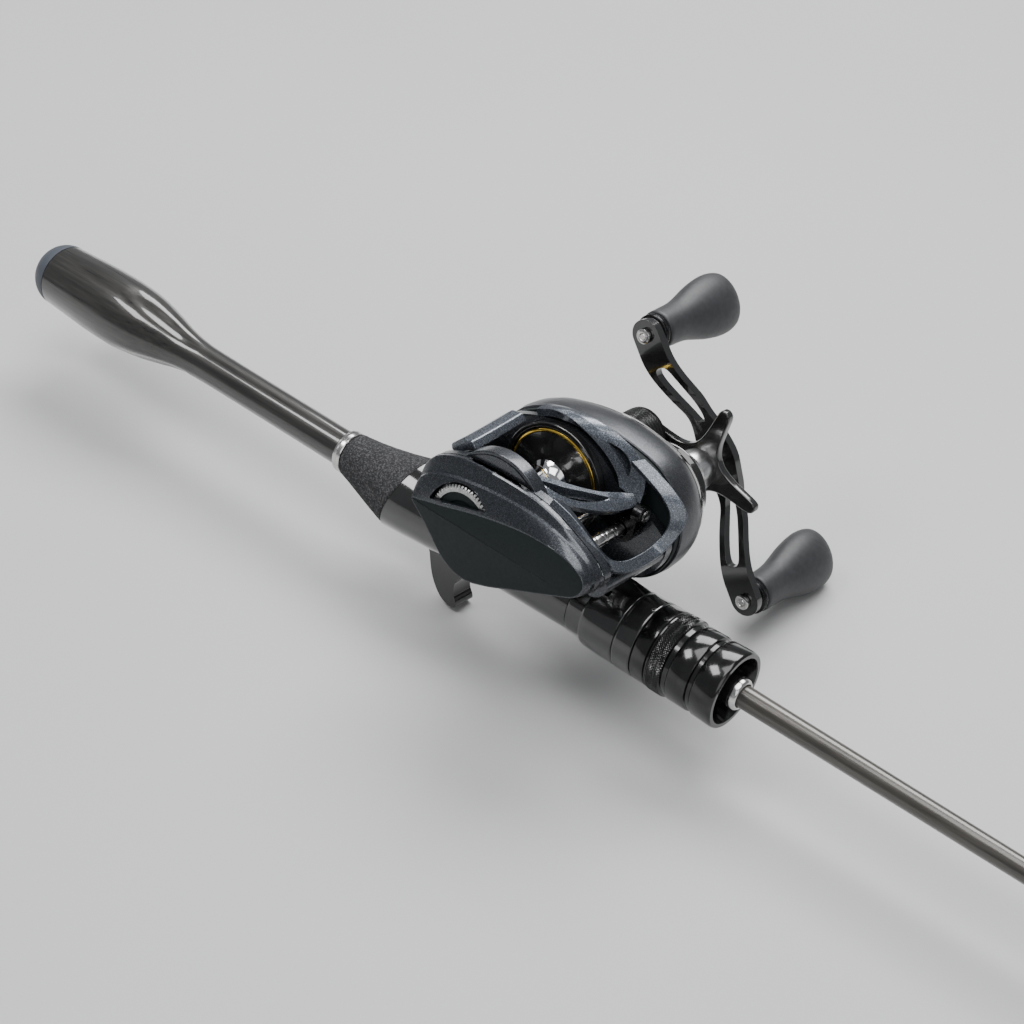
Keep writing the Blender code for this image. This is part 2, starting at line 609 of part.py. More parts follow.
def build_frame(root):
    palm_wall = plate(PALM_OUTLINE, PALM_WALL_OUT, PALM_WALL_IN, (circle(SPOOL_AXIS, PLATE_HOLE, LARGE),))
    frame = add("reel_frame", palm_wall, FLAKE, root)
    gear_holes = (circle(SPOOL_AXIS, 5.2, MEDIUM), circle(WORM_AXIS, WORM_RADIUS + RUN, SMALL))
    boolean(frame, plate(above(GEAR_OUTLINE, FLOOR_BOTTOM), GEAR_WALL_IN, GEAR_WALL_OUT, gear_holes), "UNION")
    cross = (PALM_WALL_IN - 1, GEAR_WALL_IN + 1)
    floor_plate = [(-13, FLOOR_BOTTOM), (18, FLOOR_BOTTOM), (18, FLOOR_TOP), (-13, FLOOR_TOP)]
    boolean(frame, plate(floor_plate, *cross), "UNION")
    lip = [(34.5, 18.4), (38.2, 20.2), (39.6, 23.2), (37.2, 24.2), (33.6, 21.4)]
    boolean(frame, plate(lip, *cross), "UNION")
    rear = [(-20.6, 20), (-17.6, 20), (-18.2, 26), (-21.6, 27)]
    boolean(frame, plate(rear, *cross), "UNION")
    boolean(frame, pin(PALM_WALL_OUT - 2, PALM_WALL_IN + 0.9, WORM_PIVOT, WORM_AXIS, SMALL))

    foot = [(FOOT_REAR, FOOT_BOTTOM), (FOOT_FRONT, FOOT_BOTTOM), (FOOT_FRONT, FOOT_TOP - 0.9),
            (FOOT_FRONT - 6, FOOT_TOP), (FOOT_REAR + 8, FOOT_TOP), (FOOT_REAR, FOOT_TOP - 1.0)]
    add("reel_foot", plate(foot, -FOOT_HALF_WIDTH, FOOT_HALF_WIDTH), SATIN, root)


def build_top_cover(root):
    """The skewed band across the front of the spool, with its long window."""
    palm_y, gear_y = PALM_WALL_IN + GAP, GEAR_WALL_IN - GAP
    palm_end = ((10.2, 41.4), (17.4, 38.4), (18.6, 34.9), (14.6, 36.4))
    gear_end = ((21.4, 37.2), (27.8, 34.6), (28.4, 32.2), (22.0, 33.8))
    sections = []
    for step in range(7):
        share = step / 6
        y = palm_y + (gear_y - palm_y) * share
        sections.append([(a[0] + (b[0] - a[0]) * share, y, a[1] + (b[1] - a[1]) * share)
                         for a, b in zip(palm_end, gear_end)])
    cover = add("top_cover", loft(sections), FLAKE, root)
    window = [(16.6, -13.0), (19.8, -13.6), (23.6, -2.2), (22.4, -2.2)]
    cutter = loft([[(x, y, z) for x, y in window] for z in (30, 45)])
    boolean(cover, cutter)


def build_palm_side(plate_axis, dial_axis):
    """The removable side plate, its brake magnets, its bearing and the brake dial.

    An inner wall parts the plate's hollow: the dial turns on its pivot outside the wall
    and shows through the sloped shoulder, the magnets and the bearing stand inside it.
    """
    shell = layered([(PALM_PLATE_OUT, FACE_OUTLINE), (PALM_PLATE_IN - 1.6, PALM_OUTLINE),
                     (PALM_PLATE_IN, PALM_OUTLINE)])
    side = add("palm_side_plate", shell, SATIN, plate_axis)
    deep = PALM_PLATE_OUT + SHELL_WALL
    web_in = PALM_PLATE_IN - 0.9
    web_out = web_in - PALM_WEB
    boolean(side, plate(shrunk(FACE_OUTLINE, SHELL_WALL), deep, web_out))
    boolean(side, plate(shrunk(PALM_OUTLINE, SHELL_WALL), web_in, PALM_PLATE_IN + 2))
    boolean(side, pin(deep, web_out, DIAL_RADIUS + 0.5, DIAL_AXIS, LARGE))
    boolean(side, pin(deep - 0.5, web_out + 0.5, DIAL_PIVOT, DIAL_AXIS, SMALL), "UNION")
    boolean(side, pin(web_out - 1, web_in + 1, SPOOL_SHAFT_RADIUS + 0.7, SPOOL_AXIS, SMALL))

    dial = ring(deep + GAP, web_out - GAP, DIAL_PIVOT + RUN, DIAL_RADIUS, DIAL_AXIS, LARGE)
    add("brake_dial", dial, ANODISED, dial_axis)
    start = web_in + GAP
    magnets = ring(start, SPOOL_PALM_END - 1.2, 4.4, 9.4, SPOOL_AXIS, MEDIUM)
    add("brake_magnets", magnets, STEEL, plate_axis)
    bearing = ring(start, start + 2.4, SPOOL_SHAFT_RADIUS + 0.2, 4.0, SPOOL_AXIS, SMALL)
    add("palm_bearing", bearing, STEEL, plate_axis)


def build_spool(spool_axis):
    palm, gear = SPOOL_PALM_END, SPOOL_GEAR_END
    outer, arbor, bore = SPOOL_RADIUS, ARBOR_RADIUS, SPOOL_SHAFT_RADIUS + GAP
    profile = [(palm, bore), (palm, outer - 1.2), (palm + 0.3, outer), (palm + 1.3, outer),
               (palm + 1.7, outer - 1.4), (palm + 3.4, arbor + 2.4), (palm + 5.6, arbor), (gear - 5.6, arbor),
               (gear - 3.4, arbor + 2.4), (gear - 1.7, outer - 1.4), (gear - 1.3, outer), (gear - 0.3, outer),
               (gear, outer - 1.2), (gear, bore)]
    add("spool", turned(profile, "Y", SPOOL_AXIS, LARGE), ANODISED, spool_axis)
    shaft_end = GEARBOX_OUT - 5
    shaft = turned([(palm - 5.2, 0), (palm - 5.2, SPOOL_SHAFT_RADIUS), (gear + 4, SPOOL_SHAFT_RADIUS),
                    (gear + 4, SPOOL_TAIL_RADIUS), (shaft_end, SPOOL_TAIL_RADIUS), (shaft_end, 0)],
                   "Y", SPOOL_AXIS, SMALL)
    add("spool_shaft", shaft, STEEL, spool_axis)


def build_gears(handle_axis, spool_axis, worm_axis, root):
    """Main gear and pinion, and the small pair that turns the level-wind worm."""
    shaft_hole = CRANK_SHAFT_RADIUS + GAP
    keyway = (circle(CRANK_AXIS, shaft_hole, SMALL),)
    main, pinion = gear_pair(CRANK_AXIS, CRANK_TEETH, SPOOL_AXIS, PINION_TEETH)
    level_start = GEARBOX_IN + 0.3
    level_end = level_start + 1.6
    main_start = level_end + 0.6
    main_end = main_start + 3.4
    add("main_gear", plate(main, main_start, main_end, keyway), BRASS, handle_axis)
    pinion_bore = (circle(SPOOL_AXIS, SPOOL_TAIL_RADIUS + GAP, SMALL),)
    add("pinion_gear", plate(pinion, main_start - 0.6, main_end + 3, pinion_bore), BRASS, spool_axis)
    drive, driven = gear_pair(CRANK_AXIS, LEVEL_DRIVE_TEETH, WORM_AXIS, LEVEL_WORM_TEETH)
    add("level_drive_gear", plate(drive, level_start, level_end, keyway), BRASS, handle_axis)
    worm_bore = (circle(WORM_AXIS, WORM_JOURNAL + GAP, SMALL),)
    add("worm_gear", plate(driven, level_start, level_end, worm_bore), PAD, worm_axis)

    drag_start = main_end + GAP
    washers = ring(drag_start, drag_start + 2.6, shaft_hole, DRAG_RADIUS, CRANK_AXIS, MEDIUM)
    add("drag_washers", washers, PAD, handle_axis)
    bearing_start = GEARBOX_OUT - 5.5
    bearing = ring(bearing_start, bearing_start + 5, CRANK_SHAFT_RADIUS + RUN, BEARING_RADIUS, CRANK_AXIS, MEDIUM)
    add("antireverse_bearing", bearing, STEEL, root)

    flat_bottom = above(GEAR_OUTLINE, FLOOR_BOTTOM)
    holes = (circle(SPOOL_AXIS, 4.6, SMALL), circle(WORM_AXIS, WORM_JOURNAL + RUN, SMALL))
    plate_outline = shrunk(flat_bottom, 0.8)
    add("gear_side_plate", plate(plate_outline, GEAR_PLATE_IN, GEAR_PLATE_OUT, holes), SATIN, root)


def build_gearbox_cover(root):
    """The hollow cover over the gears, with a boss for the crank and one for the knob."""
    middle = (12.0, 26.0)
    shoulder = GEARBOX_IN + 0.4 * GEARBOX_DEPTH
    outer = [(GEARBOX_IN, GEAR_OUTLINE), (shoulder, scaled(GEAR_OUTLINE, 0.98, middle)),
             (GEARBOX_OUT - 4.6, scaled(GEAR_OUTLINE, 0.86, middle)),
             (GEARBOX_OUT, scaled(GEAR_OUTLINE, 0.73, middle))]
    cover = add("gearbox_cover", layered(outer), FLAKE, root)
    boolean(cover, pin(GEARBOX_OUT - 3, GEARBOX_OUT + BOSS_LENGTH, BOSS_RADIUS, CRANK_AXIS, LARGE), "UNION")
    boolean(cover, pin(GEARBOX_OUT - 3, GEARBOX_OUT + 1.4, 6.6, SPOOL_AXIS, MEDIUM), "UNION")
    hollow = shrunk(GEAR_OUTLINE, SHELL_WALL)
    inside = [(GEARBOX_IN - 2, hollow), (shoulder - 0.4, scaled(hollow, 0.98, middle)),
              (GEARBOX_OUT - 5.4, scaled(hollow, 0.85, middle))]
    boolean(cover, layered(inside))
    deep = GEARBOX_OUT - 8
    boolean(cover, pin(deep, GEARBOX_OUT - GAP, BEARING_RADIUS + GAP, CRANK_AXIS, MEDIUM))
    boolean(cover, pin(deep, GEARBOX_OUT + BOSS_LENGTH + 1, CRANK_SHAFT_RADIUS + RUN, CRANK_AXIS, SMALL))
    boolean(cover, pin(deep, GEARBOX_OUT + 3, SPOOL_TAIL_RADIUS + RUN, SPOOL_AXIS, SMALL))


def build_level_wind(root, worm_axis, guide_axis):
    low, high = PALM_WALL_IN + GAP, GEAR_WALL_IN - GAP
    worm_end = GEARBOX_IN + 2.2
    step = GEAR_PLATE_IN - 1
    worm = turned([(PALM_WALL_IN - 1.6, 0), (PALM_WALL_IN - 1.6, WORM_PIVOT - RUN), (low, WORM_PIVOT - RUN),
                   (low, WORM_RADIUS), (step, WORM_RADIUS), (step, WORM_JOURNAL), (worm_end, WORM_JOURNAL),
                   (worm_end, 0)], "Y", WORM_AXIS, SMALL)
    add("worm_shaft", worm, STEEL, worm_axis)
    rod_axis = (GUIDE_ROD_X, GUIDE_ROD_Z)
    add("guide_rod", pin(low, high, GUIDE_ROD_RADIUS, rod_axis, SMALL), STEEL, root)

    start, end = LINE_GUIDE_Y - LINE_GUIDE_WIDTH / 2, LINE_GUIDE_Y + LINE_GUIDE_WIDTH / 2
    outline = [(17.4, 29), (17.4, 32.2), (21, 33), (24.6, 32.4), (25.4, 31), (30.8, 31), (32, 27), (30, 24),
               (24, 24), (22, 27)]
    holes = (circle(WORM_AXIS, WORM_RADIUS + RUN, SMALL), circle(rod_axis, GUIDE_ROD_RADIUS + RUN, SMALL))
    add("line_guide", plate(outline, start, end, holes), ANODISED, guide_axis)
    eye = ring(31.6, 33.4, 1.2, 2.1, (LINE_GUIDE_Y, 33.6), SMALL, "X")
    body = add("line_guide_eye", eye, CERAMIC, guide_axis)
    for side in (-1, 1):
        post_y = LINE_GUIDE_Y + side * 1.7
        boolean(body, box((32.3, post_y - 0.6, 30.4), (33.2, post_y + 0.6, 34.0)), "UNION")
    boolean(body, box((32.35, LINE_GUIDE_Y - 2.4, 28.8), (33.1, LINE_GUIDE_Y + 2.4, 31.4)), "UNION")


def build_thumb_bar(bar_axis):
    outline = [(-13.4, 38.6), (-15.6, 40.6), (-19.2, 39.6), (-22.4, 36), (-21.8, 34.2), (-19, 35), (-16, 37)]
    add("thumb_bar", plate(outline, PALM_WALL_IN + GAP, GEAR_WALL_IN - GAP), FLAKE, bar_axis)


def build_tension_knob(tension_axis):
    start, end = TENSION_START, TENSION_END
    collar_end = start + 2.6
    cap_start = collar_end + GAP
    cap = turned([(cap_start, 0), (cap_start, TENSION_RADIUS - 0.5), (cap_start + 0.7, TENSION_RADIUS),
                  (end - 0.8, TENSION_RADIUS), (end, TENSION_RADIUS - 0.8), (end, 0)], "Y", SPOOL_AXIS, LARGE)
    add("tension_knob", cap, ANODISED, tension_axis)
    collar = ring(start, collar_end, 2.0, TENSION_RADIUS + 0.1, SPOOL_AXIS, LARGE)
    add("tension_ring", collar, GOLD, tension_axis)


def build_crank(handle_axis, star_axis, knob_axes):
    """Drive shaft, star drag, swept arm and its two paddle knobs."""
    middle_y = HANDLE_INNER + HANDLE_SWEEP
    shaft = pin(GEAR_PLATE_OUT + GAP, middle_y + HANDLE_THICK + 0.8, CRANK_SHAFT_RADIUS, CRANK_AXIS, SMALL)
    add("drive_shaft", shaft, STEEL, handle_axis)

    star = []
    waist, arms = 7.4, 4
    for k in range(arms):
        middle = math.radians(-10 + 90 * k)
        for share, reach in ((-0.5, waist), (-0.24, waist + 1.2), (-0.085, STAR_REACH - 3), (-0.03, STAR_REACH),
                             (0.03, STAR_REACH), (0.085, STAR_REACH - 3), (0.24, waist + 1.2)):
            turn = middle + share * 2 * math.pi / arms
            star.append((CRANK_X + reach * math.cos(turn), CRANK_Z + reach * math.sin(turn)))
    star_bore = CRANK_SHAFT_RADIUS + RUN
    wheel = plate(star, STAR_START, STAR_END, (circle(CRANK_AXIS, star_bore, SMALL),))
    wheel = add("star_drag", wheel, GLOSS, star_axis)
    hub_start = GEARBOX_OUT + BOSS_LENGTH + 0.8
    boolean(wheel, ring(hub_start, STAR_START + 1, star_bore, 6.4, CRANK_AXIS, MEDIUM), "UNION")

    along = Vector(ARM_DIRECTION)
    across = Vector((-along.y, along.x))
    sections = []
    end_reach = HANDLE_REACH + HANDLE_WIDTH / 2
    half_arm = (0.18, 0.32, 0.5, 0.7, 0.8, 0.9, 0.95, 0.985, 1.0)
    for share in (*[-share for share in reversed(half_arm)], 0, *half_arm):
        reach = share * end_reach
        edge = max(0.0, abs(reach) - HANDLE_REACH) / (HANDLE_WIDTH / 2)
        half = HANDLE_WIDTH / 2 * math.sqrt(max(0.03, 1 - edge * edge)) + 1.4 * max(0.0, 1 - abs(share) * 3.4)
        bend = 0.5 + 0.5 * math.cos(math.pi * min(1.0, max(0.0, (abs(share) - 0.16) / 0.62)))
        near = HANDLE_INNER + HANDLE_SWEEP * bend
        spot = Vector(CRANK_AXIS) + along * reach
        left, right = spot - across * half, spot + across * half
        far = near + HANDLE_THICK
        sections.append([(left.x, near, left.y), (right.x, near, right.y), (right.x, far, right.y),
                         (left.x, far, left.y)])
    arm = add("handle_arm", loft(sections), GLOSS, handle_axis)
    through = (HANDLE_INNER - 5, middle_y + 9)
    boolean(arm, pin(*through, CRANK_SHAFT_RADIUS + GAP, CRANK_AXIS, SMALL))
    for side in (-1, 1):
        slot = [(0.285, 1.3), (0.475, 2.5), (0.725, 2.2), (0.725, -2.2), (0.475, -2.5), (0.285, -1.3)]
        corners = [Vector(CRANK_AXIS) + along * share * HANDLE_REACH * side + across * half for share, half in slot]
        boolean(arm, plate([tuple(corner) for corner in corners], *through))
        hub = Vector(CRANK_AXIS) + along * HANDLE_REACH * side
        boolean(arm, pin(*through, KNOB_PIN_RADIUS + GAP, tuple(hub), SMALL))

    nut_start = middle_y + HANDLE_THICK + GAP
    nut_top, nut_bore = nut_start + 2.4, CRANK_SHAFT_RADIUS + GAP
    nut = turned([(nut_start, nut_bore), (nut_start, 5.0), (nut_start + 1.6, 4.8), (nut_top, 3.6), (nut_top, 0),
                  (nut_top - 1, 0), (nut_top - 1, nut_bore)], "Y", CRANK_AXIS, MEDIUM)
    add("handle_nut", nut, STEEL, handle_axis)

    for letter, side, knob_axis in (("a", -1, knob_axes[0]), ("b", 1, knob_axes[1])):
        hub = tuple(Vector(CRANK_AXIS) + along * HANDLE_REACH * side)
        collar_start = HANDLE_INNER + HANDLE_THICK + GAP
        knob_start = collar_start + COLLAR_LENGTH + GAP
        knob_end = knob_start + KNOB_LENGTH
        head_end, pin_end = HANDLE_INNER - GAP, knob_end - 4
        head = turned([(head_end - 1.2, 0), (head_end - 1.2, KNOB_PIN_RADIUS + 0.6), (head_end, KNOB_PIN_RADIUS + 0.8),
                       (head_end, KNOB_PIN_RADIUS), (pin_end, KNOB_PIN_RADIUS), (pin_end, 0)], "Y", hub, SMALL)
        add(f"knob_pin_{letter}", head, STEEL, handle_axis)
        knob_bore = KNOB_PIN_RADIUS + RUN
        collar = ring(collar_start, collar_start + COLLAR_LENGTH, knob_bore, 5.4, hub, MEDIUM)
        add(f"knob_collar_{letter}", collar, ANODISED, knob_axis)
        shape = ((0.0, 0.62, 0.86), (0.1, 0.6, 0.84), (0.3, 0.66, 0.84), (0.55, 0.9, 0.97), (0.74, 1.0, 1.0),
                 (0.88, 0.95, 0.93), (0.96, 0.78, 0.74), (1.0, 0.5, 0.45))
        sections = []
        for share, wide, thick in shape:
            points = []
            for k in range(MEDIUM):
                turn = 2 * math.pi * k / MEDIUM
                spot = (Vector(hub) + along * KNOB_HALF_WIDTH * wide * math.cos(turn)
                        + across * KNOB_HALF_DEPTH * thick * math.sin(turn))
                points.append((spot.x, knob_start + KNOB_LENGTH * share, spot.y))
            sections.append(points)
        knob = add(f"knob_{letter}", loft(sections), KNOB, knob_axis)
        boolean(knob, pin(knob_start - 5, pin_end + 1, knob_bore, hub, SMALL))


# ---------------------------------------------------------------- rest pose
def rest_rotation(supports):
    """Turn that brings the undersides of three round supports level.

    Each support is (centre, radius); the touching points depend on which way is down,
    so the turn is worked out a few times over.
    """
    up = Vector((0, 0, 1))
    for _ in range(12):
        low = [centre - up * radius for centre, radius in supports]
        up = (low[1] - low[0]).cross(low[2] - low[0]).normalized()
        if up.z < 0:
            up.negate()
    forward = (Vector((1, 0, 0)) - up * up.x).normalized()
    left = up.cross(forward)
    return Matrix((forward, left, up)).to_4x4()


def lay_down(root):
    """Lean the rod's frame over and stand it with its box's base centre at the origin."""
    along = Vector(ARM_DIRECTION)
    lower = Vector(CRANK_AXIS) + along * HANDLE_REACH
    knob_y = HANDLE_INNER + HANDLE_THICK + COLLAR_LENGTH + 2 * GAP + 0.8 * KNOB_LENGTH
    knob_drop = math.hypot(KNOB_HALF_WIDTH * along.y, KNOB_HALF_DEPTH * along.x)
    supports = [(Vector((TRIGGER_X, TRIGGER_WIDTH / 2, -TRIGGER_DEPTH)), 0.0),
                (Vector((lower.x, knob_y, lower.y)), knob_drop),
                (Vector((TIP_TOP_END, 0, 0)), TIP_TOP_RADIUS)]
    root.matrix_world = rest_rotation(supports)
    bpy.context.view_layer.update()
    corners = []
    graph = bpy.context.evaluated_depsgraph_get()
    for thing in bpy.context.scene.objects:
        if thing.type == "MESH" and not thing.hide_render:
            solid = thing.evaluated_get(graph)
            corners += [solid.matrix_world @ vert.co for vert in solid.data.vertices]
    low = Vector([min(corner[k] for corner in corners) for k in range(3)])
    high = Vector([max(corner[k] for corner in corners) for k in range(3)])
    middle = (low + high) / 2
    root.location = (-middle.x, -middle.y, -low.z)
    bpy.context.view_layer.update()


def build():
    clear_scene()
    root = empty(ROOT_AXIS, (0, 0, 0))
    hood_axis = empty("hood_axis", (0, 0, 0), root)
    nut_axis = empty("nut_axis", (NUT_REAR, 0, 0), hood_axis)
    tip_axis = empty("tip_axis", (FERRULE, 0, 0), root)
    plate_axis = empty("side_plate_axis", (0, PALM_PLATE_IN, SPOOL_HEIGHT), root)
    dial_axis = empty("dial_axis", (DIAL_X, 0, DIAL_Z - SPOOL_HEIGHT), plate_axis)
    spool_axis = empty("spool_axis", (0, 0, SPOOL_HEIGHT), root)
    handle_axis = empty("handle_axis", (CRANK_X, 0, CRANK_Z), root)
    star_axis = empty("star_axis", (0, GEARBOX_OUT, 0), handle_axis)
    reach = [ARM_DIRECTION[0] * HANDLE_REACH, ARM_DIRECTION[1] * HANDLE_REACH]
    knob_axes = [empty("knob_a_axis", (-reach[0], HANDLE_INNER, -reach[1]), handle_axis),
                 empty("knob_b_axis", (reach[0], HANDLE_INNER, reach[1]), handle_axis)]
    worm_axis = empty("worm_axis", (WORM_X, 0, WORM_Z), root)
    guide_axis = empty("line_guide_axis", (WORM_X, LINE_GUIDE_Y, WORM_Z), root)
    bar_axis = empty("thumb_bar_axis", (-17.5, 0, 38), root)
    tension_axis = empty("tension_axis", (0, GEARBOX_OUT, SPOOL_HEIGHT), root)

    build_butt(root)
    build_grip(root)
    build_seat(root)
    build_hood(hood_axis, nut_axis)
    build_blank(root, tip_axis)
    build_guides(root, tip_axis)
    build_frame(root)
    build_top_cover(root)
    build_palm_side(plate_axis, dial_axis)
    build_spool(spool_axis)
    build_gears(handle_axis, spool_axis, worm_axis, root)
    build_gearbox_cover(root)
    build_level_wind(root, worm_axis, guide_axis)
    build_thumb_bar(bar_axis)
    build_tension_knob(tension_axis)
    build_crank(handle_axis, star_axis, knob_axes)
    lay_down(root)


build()
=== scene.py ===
"""Looks for the casting rod and reel: smooth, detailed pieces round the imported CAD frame.

Pieces are drawn in the rod's own frame, in millimetres (X to the tip, Y to the crank's
side, Z from rod to reel, origin on the rod's axis under the spool), and stood in place
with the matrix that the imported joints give.
"""

import json
import math

import bmesh
import bpy
from mathutils import Matrix, Vector, noise


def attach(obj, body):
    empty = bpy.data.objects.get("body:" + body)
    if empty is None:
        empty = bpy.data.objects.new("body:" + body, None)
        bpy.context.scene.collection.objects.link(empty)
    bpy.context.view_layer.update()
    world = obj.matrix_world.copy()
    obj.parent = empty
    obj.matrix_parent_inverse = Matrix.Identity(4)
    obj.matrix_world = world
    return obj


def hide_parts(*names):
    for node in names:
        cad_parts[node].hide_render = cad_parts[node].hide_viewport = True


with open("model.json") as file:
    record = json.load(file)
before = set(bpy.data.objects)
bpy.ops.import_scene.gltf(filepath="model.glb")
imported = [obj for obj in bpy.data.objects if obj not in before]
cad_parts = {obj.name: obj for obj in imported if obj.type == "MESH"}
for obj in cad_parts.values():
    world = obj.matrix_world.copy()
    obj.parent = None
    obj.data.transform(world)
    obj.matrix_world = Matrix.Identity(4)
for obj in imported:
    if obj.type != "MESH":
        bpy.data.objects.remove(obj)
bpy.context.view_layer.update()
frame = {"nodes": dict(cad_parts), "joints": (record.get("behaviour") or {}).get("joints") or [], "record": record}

MM = 0.001
ROUND, FINE, SMALL = 96, 64, 32   # sides of round pieces


# ---- the rod's frame
def rod_frame():
    """Matrix of the rod's frame in the row's frame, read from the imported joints."""
    joints = {joint["name"]: joint for joint in frame["joints"]}
    along = Vector(joints["hood_slide"]["axis"]).normalized()
    across = Vector(joints["spool_turn"]["axis"]).normalized()
    nut = Vector(joints["lock_nut_turn"]["pos_m"])
    spool = Vector(joints["spool_turn"]["pos_m"])
    matrix = Matrix((along, across, along.cross(across))).transposed().to_4x4()
    matrix.translation = nut + along * (spool - nut).dot(along)
    return matrix


ROD = rod_frame()
SPOOL = (0.0, 28.2)
CRANK = (20.2, 25.8)
WORM = (27.0, 27.5)
GUIDE_ROD = (20.0, 30.6)
DIAL = (-6.5, 22.2)
ARM_ANGLE = math.radians(50.5)
ALONG = Vector((math.cos(ARM_ANGLE), -math.sin(ARM_ANGLE)))
ACROSS = Vector((-ALONG.y, ALONG.x))
REACH = 42.1
WALL_PALM = (-22.6, -19.8)
WALL_GEAR = (5.2, 8.0)
GEARBOX_IN = 10.6
STAR = (48.2, 51.0)
HANDLE_INNER = 46.4
HANDLE_THICK = 2.8
HANDLE_SWEEP = 11.0
VIEW_RIGHT = (0.753, 0.638, 0.160)
VIEW_BACK = (0.473, -0.694, 0.543)
VIEW_PLACE = (0.2639, -0.4013, 0.3268)   # metres in the rod's frame
LENS, SENSOR = 70.3, 36.0


# ---- materials
class Look:
    """A Principled material built node by node in object space."""

    def __init__(self, name, colour, roughness, metallic=0.0, coat=0.0, coat_roughness=0.05, specular=0.5):
        self.made = bpy.data.materials.new(name)
        self.made.use_nodes = True
        self.tree = self.made.node_tree
        self.shader = self.tree.nodes["Principled BSDF"]
        self.place = self.node("ShaderNodeTexCoord").outputs["Object"]
        self.bump_out = None
        self.set("Base Color", (*colour, 1.0))
        self.set("Roughness", roughness)
        self.set("Metallic", metallic)
        self.set("Coat Weight", coat)
        self.set("Coat Roughness", coat_roughness)
        self.set("Specular IOR Level", specular)

    def node(self, kind, **values):
        made = self.tree.nodes.new(kind)
        for key, value in values.items():
            setattr(made, key, value)
        return made

    def set(self, socket, value):
        self.shader.inputs[socket].default_value = value

    def link(self, source, target):
        self.tree.links.new(source, target)

    def noise(self, scale, detail=3.0, rough=0.5, stretch=None):
        made = self.node("ShaderNodeTexNoise")
        made.inputs["Scale"].default_value = scale
        made.inputs["Detail"].default_value = detail
        made.inputs["Roughness"].default_value = rough
        place = self.place
        if stretch:
            mapping = self.node("ShaderNodeMapping")
            mapping.inputs["Scale"].default_value = stretch
            self.link(place, mapping.inputs["Vector"])
            place = mapping.outputs["Vector"]
        self.link(place, made.inputs["Vector"])
        return made.outputs["Fac"]

    def cells(self, scale, kind="Color"):
        made = self.node("ShaderNodeTexVoronoi")
        made.inputs["Scale"].default_value = scale
        self.link(self.place, made.inputs["Vector"])
        if kind != "Color":
            return made.outputs[kind]
        split = self.node("ShaderNodeSeparateColor")
        self.link(made.outputs["Color"], split.inputs["Color"])
        return split.outputs["Red"]

    def ramp(self, value, *stops):
        made = self.node("ShaderNodeValToRGB")
        points = made.color_ramp.elements
        while len(points) < len(stops):
            points.new(0.5)
        for point, (place, colour) in zip(points, stops):
            point.position = place
            point.color = (*colour, 1.0) if len(colour) == 3 else colour
        self.link(value, made.inputs["Fac"])
        return made.outputs["Color"]

    def colour(self, value, *stops):
        self.link(self.ramp(value, *stops), self.shader.inputs["Base Color"])
        return self

    def rough(self, value, low, high):
        made = self.node("ShaderNodeMapRange")
        made.inputs["To Min"].default_value = low
        made.inputs["To Max"].default_value = high
        self.link(value, made.inputs["Value"])
        self.link(made.outputs["Result"], self.shader.inputs["Roughness"])
        return self

    def bump(self, value, strength, distance):
        made = self.node("ShaderNodeBump")
        made.inputs["Strength"].default_value = strength
        made.inputs["Distance"].default_value = distance
        self.link(value, made.inputs["Height"])
        if self.bump_out is not None:
            self.link(self.bump_out, made.inputs["Normal"])
        self.bump_out = made.outputs["Normal"]
        self.link(self.bump_out, self.shader.inputs["Normal"])
        return self


def grey(level, warm=0.0):
    return (level * (1 + warm), level, level * (1 - warm))


